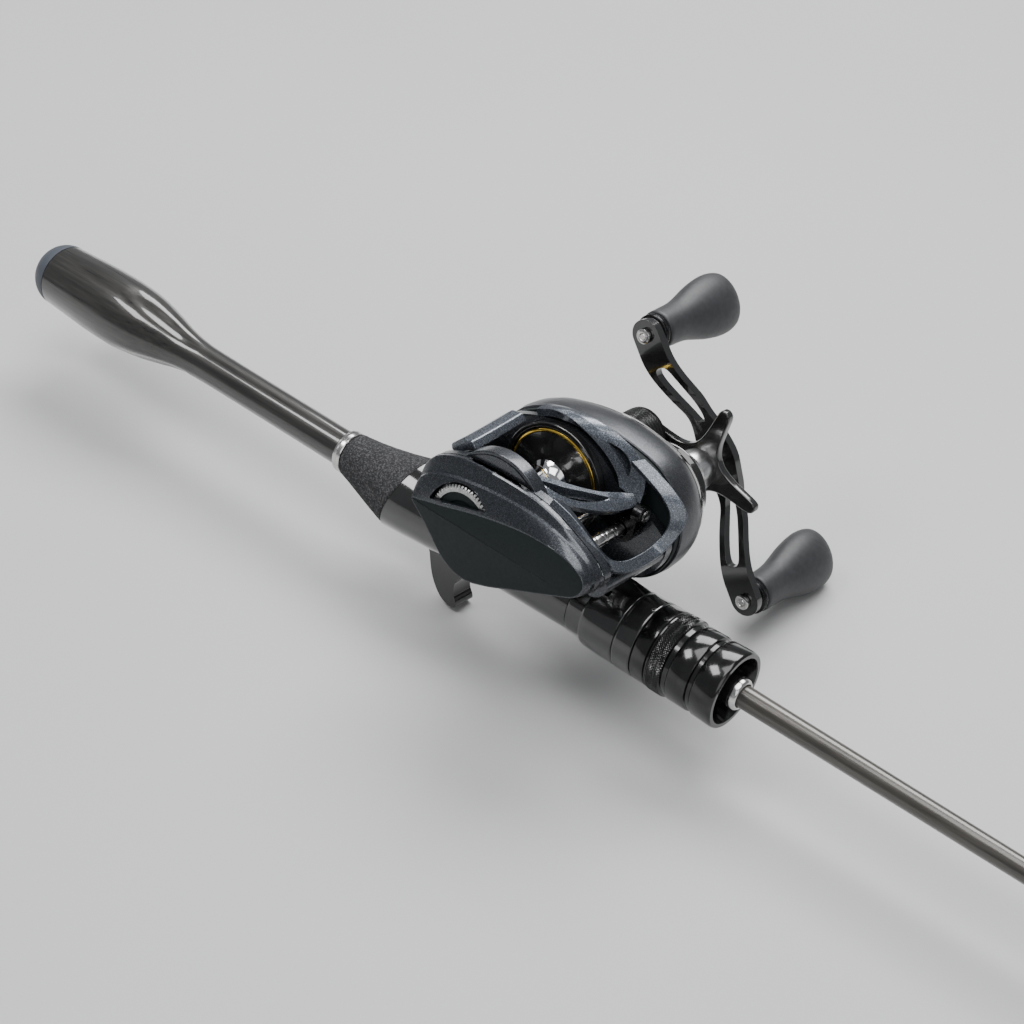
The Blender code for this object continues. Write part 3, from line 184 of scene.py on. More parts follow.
def make_looks():
    looks = {}
    carbon = Look("clear_coated_carbon", grey(0.03), 0.28, 0.35, coat=1.0, coat_roughness=0.04)
    weave = carbon.noise(900.0, 2.0, 0.6, stretch=(0.05, 1.0, 1.0))
    carbon.colour(weave, (0.3, (0.013, 0.012, 0.011)), (0.7, (0.034, 0.032, 0.029)))
    carbon.rough(weave, 0.22, 0.4)
    looks["carbon"] = carbon

    blank = Look("blank_finish", grey(0.08), 0.3, 0.5, coat=0.8, coat_roughness=0.12)
    streak = blank.noise(700.0, 3.0, 0.7, stretch=(0.04, 1.0, 1.0))
    blank.colour(streak, (0.25, (0.032, 0.029, 0.025)), (0.75, (0.085, 0.078, 0.068)))
    blank.rough(streak, 0.25, 0.45)
    looks["blank"] = blank

    foam = Look("closed_cell_foam", grey(0.035), 0.92, specular=0.25)
    cell = foam.cells(2600.0)
    foam.colour(cell, (0.0, (0.017, 0.017, 0.018)), (0.6, (0.034, 0.034, 0.036)),
        (1.0, (0.085, 0.085, 0.088)))
    foam.bump(foam.cells(2600.0, "Distance"), 0.55, 0.00025)
    foam.bump(foam.noise(420.0, 4.0), 0.35, 0.0004)
    looks["foam"] = foam

    cap = Look("rubber_cap", (0.055, 0.062, 0.075), 0.5, specular=0.4)
    cap.rough(cap.noise(300.0), 0.42, 0.6)
    cap.bump(cap.noise(5000.0), 0.1, 0.0001)
    looks["cap"] = cap

    gloss = Look("gloss_black", grey(0.007), 0.2, coat=1.0, coat_roughness=0.03)
    gloss.colour(gloss.noise(150.0), (0.3, grey(0.006)), (0.7, grey(0.011)))
    gloss.rough(gloss.noise(60.0), 0.1, 0.2)
    looks["gloss"] = gloss

    # The second copy is the same flake paint made 2.6 times lighter: a painted highlight for the rim, top cover
    # and thumb bar, which face the lamps.
    for name, lift in (("flake", 1.0), ("flake_painted_highlight", 2.6)):
        flake = Look(f"metallic_{name}", (0.03, 0.034, 0.04), 0.3, 0.75, coat=0.7, coat_roughness=0.16)
        flake.colour(flake.cells(6500.0), (0.0, tuple(lift * v for v in (0.016, 0.018, 0.022))),
            (0.7, tuple(lift * v for v in (0.030, 0.034, 0.041))),
            (1.0, tuple(lift * v for v in (0.085, 0.093, 0.110))))
        flake.rough(flake.cells(4300.0), 0.24, 0.42)
        looks[name] = flake

    band = Look("grey_satin_band", grey(0.06), 0.34, 0.8, coat=0.3, coat_roughness=0.3)
    band.colour(band.cells(6500.0), (0.0, (0.034, 0.036, 0.040)), (0.7, (0.058, 0.061, 0.067)),
        (1.0, (0.11, 0.115, 0.125)))
    band.rough(band.noise(3000.0), 0.3, 0.42)
    looks["grey_satin"] = band

    hub = Look("bright_satin_alloy", grey(0.6), 0.34, 1.0)
    hub.colour(hub.noise(1500.0, 2.0, 0.5, stretch=(1.0, 0.1, 1.0)), (0.3, grey(0.5)), (0.7, grey(0.68)))
    hub.rough(hub.noise(2500.0), 0.28, 0.4)
    looks["bright_satin"] = hub

    ribbed = Look("ribbed_dial_alloy", grey(0.4), 0.32, 1.0)
    ribbed.colour(ribbed.noise(1600.0), (0.3, grey(0.3)), (0.7, grey(0.46)))
    ribbed.rough(ribbed.noise(2600.0), 0.26, 0.4)
    looks["ribbed"] = ribbed

    fine = Look("fine_knurl_black", grey(0.05), 0.3, 0.9)
    fine.colour(fine.noise(1800.0), (0.3, grey(0.03)), (0.7, grey(0.07)))
    fine.rough(fine.noise(2600.0), 0.24, 0.38)
    looks["cap_knurl"] = fine

    satin = Look("satin_black", (0.006, 0.010, 0.0105), 0.62, specular=0.25)
    satin.colour(satin.noise(2500.0), (0.3, (0.004, 0.0075, 0.008)), (0.7, (0.008, 0.0125, 0.013)))
    satin.rough(satin.noise(900.0), 0.56, 0.7)
    satin.bump(satin.noise(6000.0, 2.0), 0.06, 0.0001)
    looks["satin"] = satin

    anodised = Look("black_anodised", grey(0.03), 0.26, 0.9)
    rings = anodised.noise(1200.0, 2.0, 0.5)
    anodised.colour(rings, (0.3, (0.014, 0.014, 0.015)), (0.7, (0.035, 0.035, 0.037)))
    anodised.rough(rings, 0.2, 0.34)
    looks["anodised"] = anodised

    knurl = Look("black_chrome", grey(0.05), 0.16, 0.95, coat=0.4, coat_roughness=0.06)
    knurl.colour(knurl.noise(260.0), (0.3, grey(0.030)), (0.7, grey(0.046)))
    knurl.rough(knurl.noise(400.0), 0.13, 0.2)
    looks["knurl"] = knurl

    steel = Look("polished_steel", grey(0.62, 0.02), 0.18, 1.0)
    brushed = steel.noise(1500.0, 2.0, 0.5, stretch=(1.0, 0.08, 1.0))
    steel.colour(brushed, (0.25, grey(0.5, 0.02)), (0.75, grey(0.72, 0.02)))
    steel.rough(brushed, 0.12, 0.26)
    looks["steel"] = steel

    arbor = Look("polished_arbor", grey(0.7), 0.08, 1.0)
    arbor.rough(arbor.noise(900.0), 0.05, 0.13)
    looks["arbor"] = arbor

    gold = Look("gold_anodised", (0.9, 0.6, 0.1), 0.22, 1.0)
    gold.colour(gold.noise(900.0), (0.3, (0.80, 0.50, 0.07)), (0.7, (0.95, 0.68, 0.16)))
    gold.rough(gold.noise(2200.0), 0.15, 0.28)
    looks["gold"] = gold

    brass = Look("machined_brass", (0.65, 0.45, 0.18), 0.3, 1.0)
    brass.colour(brass.noise(700.0), (0.3, (0.55, 0.38, 0.15)), (0.7, (0.75, 0.54, 0.24)))
    brass.rough(brass.noise(1800.0), 0.22, 0.42)
    looks["brass"] = brass

    ceramic = Look("dark_ceramic", grey(0.03), 0.1, coat=0.6)
    ceramic.rough(ceramic.noise(1500.0), 0.06, 0.14)
    looks["ceramic"] = ceramic

    soft = Look("soft_touch_knob", (0.022, 0.023, 0.026), 0.5, specular=0.45, coat=0.15, coat_roughness=0.45)
    soft.colour(soft.noise(600.0), (0.3, (0.018, 0.019, 0.021)), (0.7, (0.028, 0.029, 0.032)))
    soft.rough(soft.noise(1600.0), 0.42, 0.58)
    soft.bump(soft.noise(5200.0, 2.0), 0.12, 0.0001)
    looks["soft"] = soft

    pad = Look("drag_fibre", (0.12, 0.1, 0.08), 0.8)
    pad.colour(pad.noise(1500.0), (0.3, (0.08, 0.065, 0.05)), (0.7, (0.17, 0.14, 0.11)))
    looks["pad"] = pad

    deep = Look("dark_inside", grey(0.004), 0.6)
    deep.rough(deep.noise(800.0), 0.5, 0.7)
    looks["deep"] = deep

    floor = Look("studio_floor", grey(0.5), 0.55)
    floor.colour(floor.noise(3.0, 2.0), (0.3, grey(0.47)), (0.7, grey(0.5)))
    floor.rough(floor.noise(12.0), 0.5, 0.62)
    looks["floor"] = floor
    return looks


LOOKS = make_looks()


# ---- mesh helpers
def piece(name, bm, body, look, nodes=(), bevel=0.0, sharp=32.0, steps=2):
    """A bmesh in rod-frame millimetres as a finished piece riding on a CAD body."""
    bmesh.ops.remove_doubles(bm, verts=bm.verts, dist=0.0004)
    bmesh.ops.recalc_face_normals(bm, faces=bm.faces)
    for vert in bm.verts:
        vert.co *= MM
    mesh = bpy.data.meshes.new(name)
    bm.to_mesh(mesh)
    bm.free()
    mesh.transform(ROD)
    mesh.materials.append(LOOKS[look].made)
    mesh.shade_smooth()
    mesh.set_sharp_from_angle(angle=math.radians(sharp))
    made = bpy.data.objects.new(name, mesh)
    bpy.context.scene.collection.objects.link(made)
    if bevel:
        round_edges(made, bevel, steps, sharp)
    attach(made, body)
    if nodes:
        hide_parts(*nodes)
    return made


def round_edges(made, bevel, steps=2, sharp=32.0):
    step = made.modifiers.new("bevel", "BEVEL")
    step.width = bevel * MM
    step.segments = steps
    step.limit_method = "ANGLE"
    step.angle_limit = math.radians(sharp)
    step.use_clamp_overlap = True
    step.harden_normals = False
    weighted = made.modifiers.new("weighted", "WEIGHTED_NORMAL")
    weighted.keep_sharp = False
    weighted.weight = 80


def cut(target, bm, operation="DIFFERENCE"):
    """Boolean applied at once, before any bevel, so that edges made by it are rounded too."""
    for vert in bm.verts:
        vert.co *= MM
    bmesh.ops.recalc_face_normals(bm, faces=bm.faces)
    mesh = bpy.data.meshes.new("tool")
    bm.to_mesh(mesh)
    bm.free()
    tool = bpy.data.objects.new("tool", mesh)
    bpy.context.scene.collection.objects.link(tool)
    tool.matrix_world = ROD
    step = target.modifiers.new("cut", "BOOLEAN")
    step.operation = operation
    step.solver = "EXACT"
    step.object = tool
    kept = list(target.modifiers)[:-1]
    states = [modifier.show_viewport for modifier in kept]
    for modifier in kept:
        modifier.show_viewport = False
    bpy.context.view_layer.update()
    solid = target.evaluated_get(bpy.context.evaluated_depsgraph_get())
    result = bpy.data.meshes.new_from_object(solid)
    target.modifiers.remove(step)
    target.data = result
    for modifier, state in zip(kept, states):
        modifier.show_viewport = state
    bpy.data.objects.remove(tool)
    return target


def revolve(profile, along="X", centre=(0.0, 0.0), segments=ROUND, ripple=None):
    """Spin (place, radius) points; off-axis profiles close into a ring."""
    bm = bmesh.new()
    rings = []
    for place, radius in profile:
        ring = []
        for k in range(segments if radius > 0 else 1):
            turn = 2 * math.pi * k / segments
            reach = radius if ripple is None or radius == 0 else ripple(place, radius, turn)
            side, up = reach * math.cos(turn), reach * math.sin(turn)
            spot = (place, centre[0] + side, centre[1] + up) if along == "X" else (centre[0] + side, place,
                centre[1] + up)
            ring.append(bm.verts.new(spot))
        rings.append(ring)
    pairs = list(zip(rings, rings[1:]))
    if len(rings[0]) > 1 and len(rings[-1]) > 1:
        pairs.append((rings[-1], rings[0]))
    for first, second in pairs:
        if len(first) == len(second) == 1:
            continue
        for k in range(segments):
            bm.faces.new(dict.fromkeys([first[k % len(first)], first[(k + 1) % len(first)],
                second[(k + 1) % len(second)], second[k % len(second)]]))
    return bm


def capped(profile):
    """The profile closed on the axis at both ends."""
    return [(profile[0][0], 0.0), *profile, (profile[-1][0], 0.0)]


def sleeve(start, end, inner, outer, centre, segments=ROUND, along="Y"):
    return revolve([(start, inner), (start, outer), (end, outer), (end, inner)], along, centre, segments)


def cylinder(start, end, radius, centre, segments=FINE, along="Y"):
    return revolve(capped([(start, radius), (end, radius)]), along, centre, segments)


def smooth(points, steps=8):
    """A closed Catmull-Rom curve through points of any dimension."""
    count = len(points)
    curve = []
    for k in range(count):
        a, b, c, d = (Vector(points[(k + j) % count]) for j in (-1, 0, 1, 2))
        for step in range(steps):
            t = step / steps
            curve.append(tuple(0.5 *
                (2 * b + (c - a) * t + (2 * a - 5 * b + 4 * c - d) * t * t + (3 * b - a - 3 * c + d) * t **
                3)))
    return curve


def flow(rows, steps=6):
    """An open Catmull-Rom curve through tuples, ends included."""
    rows = [tuple(2 * a - b for a, b in zip(rows[0], rows[1])), *rows,
        tuple(2 * a - b for a, b in zip(rows[-1], rows[-2]))]
    curve = []
    for a, b, c, d in zip(rows, rows[1:], rows[2:], rows[3:]):
        for step in range(steps):
            t = step / steps
            curve.append(tuple(0.5 *
                (2 * q + (r - p) * t + (2 * p - 5 * q + 4 * r - s) * t * t + (3 * q - p - 3 * r + s) * t ** 3)
                for p, q, r, s in zip(a, b, c, d)))
    curve.append(rows[-2])
    return curve


def loft(sections, caps=True):
    bm = bmesh.new()
    loops = [[bm.verts.new(point) for point in section] for section in sections]
    for first, second in zip(loops, loops[1:]):
        for k in range(len(first)):
            bm.faces.new((first[k - 1], first[k], second[k], second[k - 1]))
    if caps:
        bm.faces.new(loops[0])
        bm.faces.new(list(reversed(loops[-1])))
    return bm


def layered(outlines):
    return loft([[(x, y, z) for x, z in outline] for y, outline in outlines])


def shrunk(outline, wall):
    count = len(outline)
    area = sum(outline[k - 1][0] * outline[k][1] - outline[k][0] * outline[k - 1][1] for k in range(count))
    side = 1.0 if area > 0 else -1.0
    inner = []
    for k in range(count):
        run = Vector(outline[(k + 1) % count]) - Vector(outline[k - 1])
        normal = Vector((-run.y, run.x)).normalized() * side
        inner.append(tuple(Vector(outline[k]) + normal * wall))
    return inner


def scaled(outline, factor, about):
    return [(about[0] + (x - about[0]) * factor, about[1] + (z - about[1]) * factor) for x, z in outline]


def mixed(first, second, share):
    return [(a[0] + (b[0] - a[0]) * share, a[1] + (b[1] - a[1]) * share) for a, b in zip(first, second)]


def circle(centre, radius, segments=FINE, start=0.0):
    return [(centre[0] + radius * math.cos(start + 2 * math.pi * k / segments),
        centre[1] + radius * math.sin(start + 2 * math.pi * k / segments)) for k in range(segments)]


def plate(outline, start, end, holes=()):
    """A flat piece in the XZ plane between two Ys, with holes."""
    bm = bmesh.new()
    sides = []
    for y in (start, end):
        edges = []
        for loop in (outline, *holes):
            verts = [bm.verts.new((x, y, z)) for x, z in loop]
            edges += [bm.edges.new((verts[k - 1], verts[k])) for k in range(len(verts))]
            sides.append(verts)
        bmesh.ops.triangle_fill(bm, use_beauty=True, edges=edges)
    half = len(sides) // 2
    for near, far in zip(sides[:half], sides[half:]):
        for k in range(len(near)):
            bm.faces.new((near[k - 1], near[k], far[k], far[k - 1]))
    bmesh.ops.dissolve_limit(bm, angle_limit=0.01, verts=bm.verts, edges=bm.edges)
    return bm


def box(low, high):
    bm = bmesh.new()
    size = Vector(high) - Vector(low)
    middle = (Vector(high) + Vector(low)) / 2
    bmesh.ops.create_cube(bm, size=1.0, matrix=Matrix.Translation(middle) @ Matrix.Diagonal((*size, 1)))
    return bm


def knurled(start, end, radius, teeth, depth, rows):
    """Profile rows and ripple of a diamond knurl band."""
    places = [(start + (end - start) * k / rows, radius) for k in range(rows + 1)]

    def ripple(place, reach, turn):
        if not start <= place <= end or abs(reach - radius) > 0.001:
            return reach
        pitch = 2 * math.pi * radius / teeth
        slide = (place - start) / pitch * 2 * math.pi
        ridge = max(math.sin(teeth * turn + slide), math.sin(teeth * turn - slide))
        valley = min(math.sin(teeth * turn + slide), math.sin(teeth * turn - slide))
        return reach - depth * (0.5 - 0.25 * (ridge + valley))

    return places, ripple


# ---- rod: butt, grip, seat
def build_butt():
    cap = [(-217.0, 0)]
    for k in range(1, 19):
        turn = math.radians(90 * k / 18)
        cap.append((-207.6 - 9.4 * math.cos(turn), 10.74 * math.sin(turn) ** 0.93))
    piece("butt_cap_shell", revolve(cap + [(-207.6, 0)]), "rod", "cap", ["butt_cap"])
    outer = flow([(-207.3, 10.74), (-198.3, 11.24), (-188.0, 11.75), (-176.0, 11.8), (-166.0, 10.95),
        (-157.0, 9.1), (-149.0, 7.2), (-141.0, 6.1), (-131.0, 5.8), (-100.0, 5.72), (-56.0, 5.7)], 6)
    bore = [(-56.0, 4.6), (-147.0, 4.6), (-169.0, 8.2), (-207.3, 8.8)]

    def scoop(place, radius, turn):
        """Three shallow flutes where the bulb necks down to the tube."""
        near = max(0.0, 1 - ((place + 157) / 17) ** 2)
        return radius - 0.9 * near * max(0.0, math.cos(3 * (turn - 1.9))) ** 3 if radius > 5.6 else radius

    piece("butt_tube_shell", revolve(outer + bore, ripple=scoop), "rod", "carbon", ["butt_tube"])
    trim = [(-74.3, 6.0), (-74.3, 6.5), (-73.9, 6.85), (-73.3, 6.9), (-73.0, 6.6), (-72.8, 6.6), (-72.5, 6.9),
        (-71.6, 6.9), (-71.3, 6.7), (-71.3, 6.0)]
    piece("trim_ring", revolve(trim), "rod", "steel", ["rear_trim_ring"])


def seam(height, back=0.0):
    return -46.25 + 7.5 / 25.2 * height - back


def build_grip():
    start, rear = -71.0, 7.0
    sections = []
    for step in range(61):
        share = step / 60
        radius = rear + 5.6 * share ** 1.15
        if step == 0:
            radius -= 0.5
        if step == 60:
            radius -= 0.35
        droop = -0.9 * math.sin(math.pi * share * 0.8)
        points = []
        for k in range(ROUND * 2):
            turn = math.pi * k / ROUND
            spot = Vector((share * 8, math.cos(turn) * 3, math.sin(turn) * 3))
            grain = 0.05 * noise.noise(spot * 2.2) + 0.035 * noise.noise(spot * 9.0)
            reach = radius + grain
            height = droop + reach * math.sin(turn)
            points.append((start + (seam(height, 0.3) - start) * share, reach * math.cos(turn), height))
        sections.append(points)
    bm = loft(sections, caps=False)
    bm.verts.ensure_lookup_table()
    count = ROUND * 2
    ends = [([bm.verts[first + k] for k in range(count)], at_rear) for first,
        at_rear in ((0, True), (60 * count, False))]
    for loop, face_x in ends:
        inner = []
        for vert in loop:
            turn = math.atan2(vert.co.z, vert.co.y)
            y, z = 6.0 * math.cos(turn), 6.0 * math.sin(turn)
            inner.append(bm.verts.new((start if face_x else seam(z, 0.3), y, z)))
        for k in range(count):
            bm.faces.new((loop[k - 1], loop[k], inner[k], inner[k - 1]))
    grip = piece("grip_foam", bm, "rod", "foam", ["rear_grip"], sharp=50)


def build_seat():
    radii = flow([(0.0, 12.75), (0.08, 12.5), (0.16, 12.1), (0.34, 11.4), (0.6, 10.85), (0.85, 10.55),
        (1.0, 10.3)], 6)
    sections = []
    for share, radius in radii:
        points = []
        for k in range(ROUND):
            turn = 2 * math.pi * k / ROUND
            height = radius * math.sin(turn) - 0.6 * (1 - share)
            rear = seam(height)
            points.append((rear + (21.8 - rear) * share, radius * math.cos(turn), height))
        sections.append(points)
    seat = piece("reel_seat_body", loft(sections), "rod", "gloss", ["reel_seat"])
    hook = smooth([(-35, -6), (-33.4, -13.5), (-31, -20.6), (-27.4, -25.4), (-23.6, -27.3), (-20.9, -26.8),
        (-20.5, -25.2), (-22.2, -22), (-21.7, -17.2), (-17.6, -13), (-11, -10.4), (-4, -5)], 6)
    cut(seat, plate(hook, -3.9, 3.9), "UNION")
    cut(seat, revolve([(-37.6, 0), (-37.6, 6.0), (-34.6, 8.9), (-30, 9.25), (-26.6, 9.3), (-26.6, 0)], "X",
        (0, 4.2), FINE), "UNION")
    cut(seat, plate([(-33, 8.4), (-33, 10.9), (-27.6, 10.9), (-26.1, 20), (23, 20), (23, 8.4)], -6, 6))
    cut(seat, plate([(-26.1, 8.4), (-26.1, 20), (23, 20), (23, 8.4)], -12, 12))
    cut(seat, revolve(capped([(-70, 3.68), (30, 3.68)])))
    round_edges(seat, 0.45, 3, 40)

    rows = [(22.1, 3.68)]
    for k in range(0, 82):
        rows.append((22.4 + 0.48 * k, 8.25 if k % 3 else 7.75))
    thread = [row for row in rows if row[0] < 62.0] + [(63.0, 7.5), (63.0, 3.68)]
    piece("seat_thread_tube", revolve(thread), "rod", "satin", ["seat_thread"])
    check = [(63.3, 3.68), (63.3, 6.6), (64.5, 6.55), (68.3, 5.2), (70, 5.0), (74.7, 4.75), (74.7, 3.68)]
    piece("winding_check_cone", revolve(check), "rod", "gloss", ["winding_check"], bevel=0.12)
    check = [(74.8, 3.68), (74.8, 4.8), (75.0, 4.9), (76.4, 4.7), (77.0, 4.2), (77.0, 3.68)]
    piece("winding_check_ring", revolve(check), "rod", "steel", ["winding_check"], bevel=0.12)


def build_hood():
    profile = [(22.1, 8.6), (22.1, 10.5), (22.9, 10.8), (27.2, 10.85), (27.6, 11.3), (28.4, 11.62),
        (30.5, 11.75), (35, 11.8), (39.0, 11.8), (39.4, 11.65), (39.6, 11.3), (39.9, 11.3), (40.1, 11.8),
        (40.5, 11.95), (45.4, 11.95), (45.9, 11.8), (46.1, 11.5), (46.1, 8.6)]

    def facets(place, radius, turn):
        if 22.5 < place < 27.4 and radius > 10:
            side = (turn + math.pi / 8) % (math.pi / 4) - math.pi / 8
            return min(radius, 10.35 / math.cos(side))
        return radius

    hood = piece("hood_barrel", revolve(profile, ripple=facets), "hood", "gloss", ["moving_hood"], sharp=25)
    cut(hood, box((20.1, -6.4, 0), (32.1, 6.4, 10.9)))
    round_edges(hood, 0.12, 2, 30)

    start, end = 52.2, 56.4
    places, ripple = knurled(start, end, 12.15, 92, 0.5, 22)
    profile = [(46.4, 8.6), (46.4, 11.6), (46.7, 11.85), (50.9, 11.85), (51.2, 11.35), (51.6, 11.3),
        (51.9, 11.6), *places, (56.6, 11.8), (56.9, 11.1), (58.3, 11.1), (58.6, 11.5), (59.0, 11.75),
        (64.6, 11.75), (65.0, 11.6), (65.3, 11.0), (66.4, 11.0), (66.8, 11.5), (67.2, 11.75), (73.2, 11.95),
        (74.0, 11.8), (74.3, 11.5), (74.3, 10.3), (73.9, 10.1), (65.7, 9.0), (64.7, 8.8), (63.7, 8.6)]
    nut = piece("nut_body", revolve(profile, segments=368, ripple=ripple), "nut", "knurl", ["lock_nut"],
        sharp=40)
    return nut


def blank_radius(x):
    return 3.38 - 0.0029 * max(0.0, x - 77)


def tip_radius(x):
    base = blank_radius(384)
    return base + (0.75 - base) * (x - 384) / 601


def build_blank():
    outer = [(-46.0, 3.38), (77, 3.38), (180, blank_radius(180)), (280, blank_radius(280)),
        (384, blank_radius(384))]
    inner = [(384, 1.87), (352, 1.87), (-46, 2.38)]
    piece("blank_lower", revolve(outer + inner, segments=FINE), "rod", "blank", ["blank_butt"])
    wrap = [(369, 2.68), (370.2, 3.05), (383.2, 3.05), (383.7, 2.68)]
    piece("ferrule_band", revolve(wrap, segments=SMALL), "rod", "gloss", ["ferrule_wrap"], bevel=0.1)
    base = blank_radius(384)
    tip = [(354, 1.8), (384.3, 1.8), (384.3, base)]
    tip += [(384.3 + 600.7 * share, base + (0.75 - base) * share) for share in (0.25, 0.5, 0.75, 1.0)]
    piece("blank_upper", revolve(capped(tip), segments=FINE), "tip", "blank", ["blank_tip"])


def build_guides():
    """Wire-framed line guides: a ceramic ring in a steel collar on a pressed foot."""
    inner = 4.6
    for number, station in enumerate((240, 345, 480, 620, 750, 870), start=1):
        body = "rod" if station < 384 else "tip"
        foot_rear = station - 3.2 * inner
        radius = blank_radius(foot_rear) if station < 384 else tip_radius(foot_rear)
        seat = radius + 0.3
        holder = inner + 0.75
        height = seat + holder + 1.6
        width = 0.55 + 0.09 * inner
        collar = [(station - width, inner + 0.65), (station - width, holder + 0.2),
            (station - width + 0.2, holder + 0.3), (station + width - 0.2, holder + 0.3),
            (station + width, holder + 0.2), (station + width, inner + 0.65)]
        made = piece(f"guide_{number}_collar", revolve(collar, "X", (0, height), FINE), body, "steel",
            [f"guide_{number}_frame"])
        top = height - holder + 0.1
        leg = [(foot_rear, seat), (foot_rear, seat + 0.2), (station - 1.5 * inner, seat + 0.6),
            (station - width * 0.8, top), (station + width * 0.8, top), (station + 1.1 * inner, seat + 0.6),
            (station + 1.9 * inner, seat + 0.2), (station + 1.9 * inner, seat)]
        half = 0.3 * inner + 0.2
        cut(made, plate(leg, -half, half), "UNION")
        round_edges(made, 0.1, 1, 40)
        ring = [(station - width - 0.1, inner + 0.1), (station - width - 0.2, inner - 0.1),
            (station - 0.3, inner - 0.34), (station + 0.3, inner - 0.34),
            (station + width + 0.2, inner - 0.1), (station + width + 0.1, inner + 0.1),
            (station + width, inner + 0.28), (station - width, inner + 0.28)]
        piece(f"guide_{number}_insert", revolve(ring, "X", (0, height), FINE), body, "ceramic",
            [f"guide_{number}_ring"], sharp=50)
        inner = max(inner * 0.78, 1.5)
    top = [(978, 1.1), (978, 1.6), (986.2, 1.45), (986.2, 0), (985.3, 0), (985.3, 1.1)]
    sleeve_top = piece("tip_top_sleeve", revolve(top, segments=SMALL), "tip", "steel", ["tip_top"])
    cut(sleeve_top, sleeve(985.0, 986.1, 1.5, 2.5, (0, 3.6), SMALL, "X"), "UNION")
    round_edges(sleeve_top, 0.1, 1, 40)


build_butt()
build_grip()
build_seat()
build_hood()
build_blank()
build_guides()

# ---- reel: outlines and helpers
PALM_POINTS = ((-25, 26), (-22.5, 34), (-14, 38.6), (-3, 40.2), (10, 40.2), (20, 38.6), (30, 34.6),
    (36.4, 31), (39.4, 27), (36.6, 21.8), (29, 17.2), (15, 11.4), (6, 7.4), (-2, 5.4), (-10, 7.6),
    (-19, 15.6))
FACE_POINTS = ((-23.8, 21.5), (-21, 22.8), (-12.5, 25.2), (-2.5, 28.2), (8.5, 30.8), (18.5, 32.2), (28, 32),
    (34.5, 30), (37.4, 26.6), (35.4, 22), (28, 18.2), (14.5, 12.2), (6, 8.4), (-2, 6.4), (-9.6, 8.8),
    (-18, 16.4))
NOSE = 20.66
GEAR_POINTS = ((-22.5, 20), (-25, 28), (-22, 37), (-15, 42.6), (-6, 45.8), (4, 47.6), (14, 47.8),
    *((CRANK[0] + NOSE * math.cos(math.radians(turn)),
    CRANK[1] + NOSE * math.sin(math.radians(turn))) for turn in range(70, -96, -27)), (8, 6.4), (-4, 8.4),
    (-14, 12.4))
WALL_POINTS = ((-22.5, 20), (-25, 28), (-22, 37), (-15, 41.6), (-6, 44.6), (2, 45.2), (9, 43.8), (15, 40.8),
    (20, 36.4), (24.5, 34), (31.5, 32.4), (38.5, 28), (40, 23.5), (37, 16), (28, 9), (14, 6.4), (8, 6.4),
    (-4, 8.4), (-14, 12.4))
PALM_LINE = smooth(PALM_POINTS, 8)
FACE_LINE = smooth(FACE_POINTS, 8)
GEAR_LINE = smooth(GEAR_POINTS, 8)
FLOOR = 10.9
HEART = (12.0, 26.0)   # the gearbox cover narrows towards this line


def above(outline, floor):
    return [(x, max(z, floor)) for x, z in outline]


def ribbon(rows, thick, steps=6, crown=0.0):
    """A bent band through pairs of edge points, thickened under its outer side."""
    flat = flow([(*a, *b) for a, b in rows], steps)
    edges = [(Vector(row[:3]), Vector(row[3:])) for row in flat]
    sections = []
    for k, (first, second) in enumerate(edges):
        before, after = edges[max(0, k - 1)], edges[min(len(edges) - 1, k + 1)]
        run = (after[0] + after[1]) - (before[0] + before[1])
        under = run.cross(second - first).normalized() * thick
        middle = (first + second) / 2 - under * crown
        sections.append([first, middle, second, second + under, first + under])
    return loft(sections)


# ---- reel: frame and covers
def build_frame():
    palm = plate(PALM_LINE, *WALL_PALM, (circle(SPOOL, 15.8, ROUND),))
    made = piece("frame_body", palm, "rod", "flake", ["reel_frame"])
    holes = (circle(SPOOL, 5.2), circle(WORM, 2.35, SMALL))
    cut(made, plate(above(smooth(WALL_POINTS, 8), FLOOR), *WALL_GEAR, holes), "UNION")
    inside = (WALL_PALM[1] - 1, WALL_GEAR[0] + 1)
    cut(made, plate([(-13, FLOOR), (18, FLOOR), (18, 12.5), (-13, 12.5)], *inside), "UNION")
    cut(made, plate(smooth([(34.5, 18.4), (38.2, 20.2), (39.8, 23.6), (37.4, 25.4), (33.6, 21.4)], 3),
        *inside), "UNION")
    cut(made, plate([(-20.6, 20), (-17.6, 20), (-18.2, 26), (-21.0, 31.6), (-23.4, 31.0), (-23.0, 24)],
        *inside), "UNION")
    cut(made, cylinder(-24.6, -18.9, 1.8, WORM, SMALL))
    round_edges(made, 0.35, 2, 35)
    piece("flange_ring", sleeve(2.6, 5.3, 15.75, 17.2, SPOOL), "rod", "gloss", ["reel_frame"], bevel=0.3)
    piece("palm_arch", sleeve(-22.3, -17.7, 15.6, 16.9, SPOOL), "rod", "flake", ["reel_frame"], bevel=0.35)

    rim = [((17.0, -22.4, 39.0), (17.4, -19.0, 37.6)), ((24.0, -22.3, 36.9), (22.4, -18.8, 35.4)),
        ((31.0, -21.8, 33.0), (28.6, -18.8, 31.8)), ((36.2, -19.6, 28.2), (34.4, -17.9, 28.4)),
        ((38.9, -15.4, 25.4), (36.8, -13.6, 27.4)), ((40.2, -7.0, 24.8), (37.6, -6.4, 27.0)),
        ((41.2, 0.4, 26.2), (38.0, -0.2, 27.6)), ((42.3, 5.4, 31.2), (38.9, 3.6, 31.2)),
        ((42.2, 8.0, 36.9), (38.4, 5.2, 36.2)), ((38.4, 8.4, 40.2), (34.8, 5.3, 39.4)),
        ((31.6, 8.4, 43.2), (28.6, 5.3, 42.2)), ((25.0, 8.2, 45.4), (22.6, 5.3, 44.4))]
    # The rim takes the lighter flake copy: a painted highlight.
    piece("front_rim", ribbon(rim, 2.3, 5, 0.12), "rod", "flake_painted_highlight", ["reel_frame"], bevel=0.3, sharp=28)


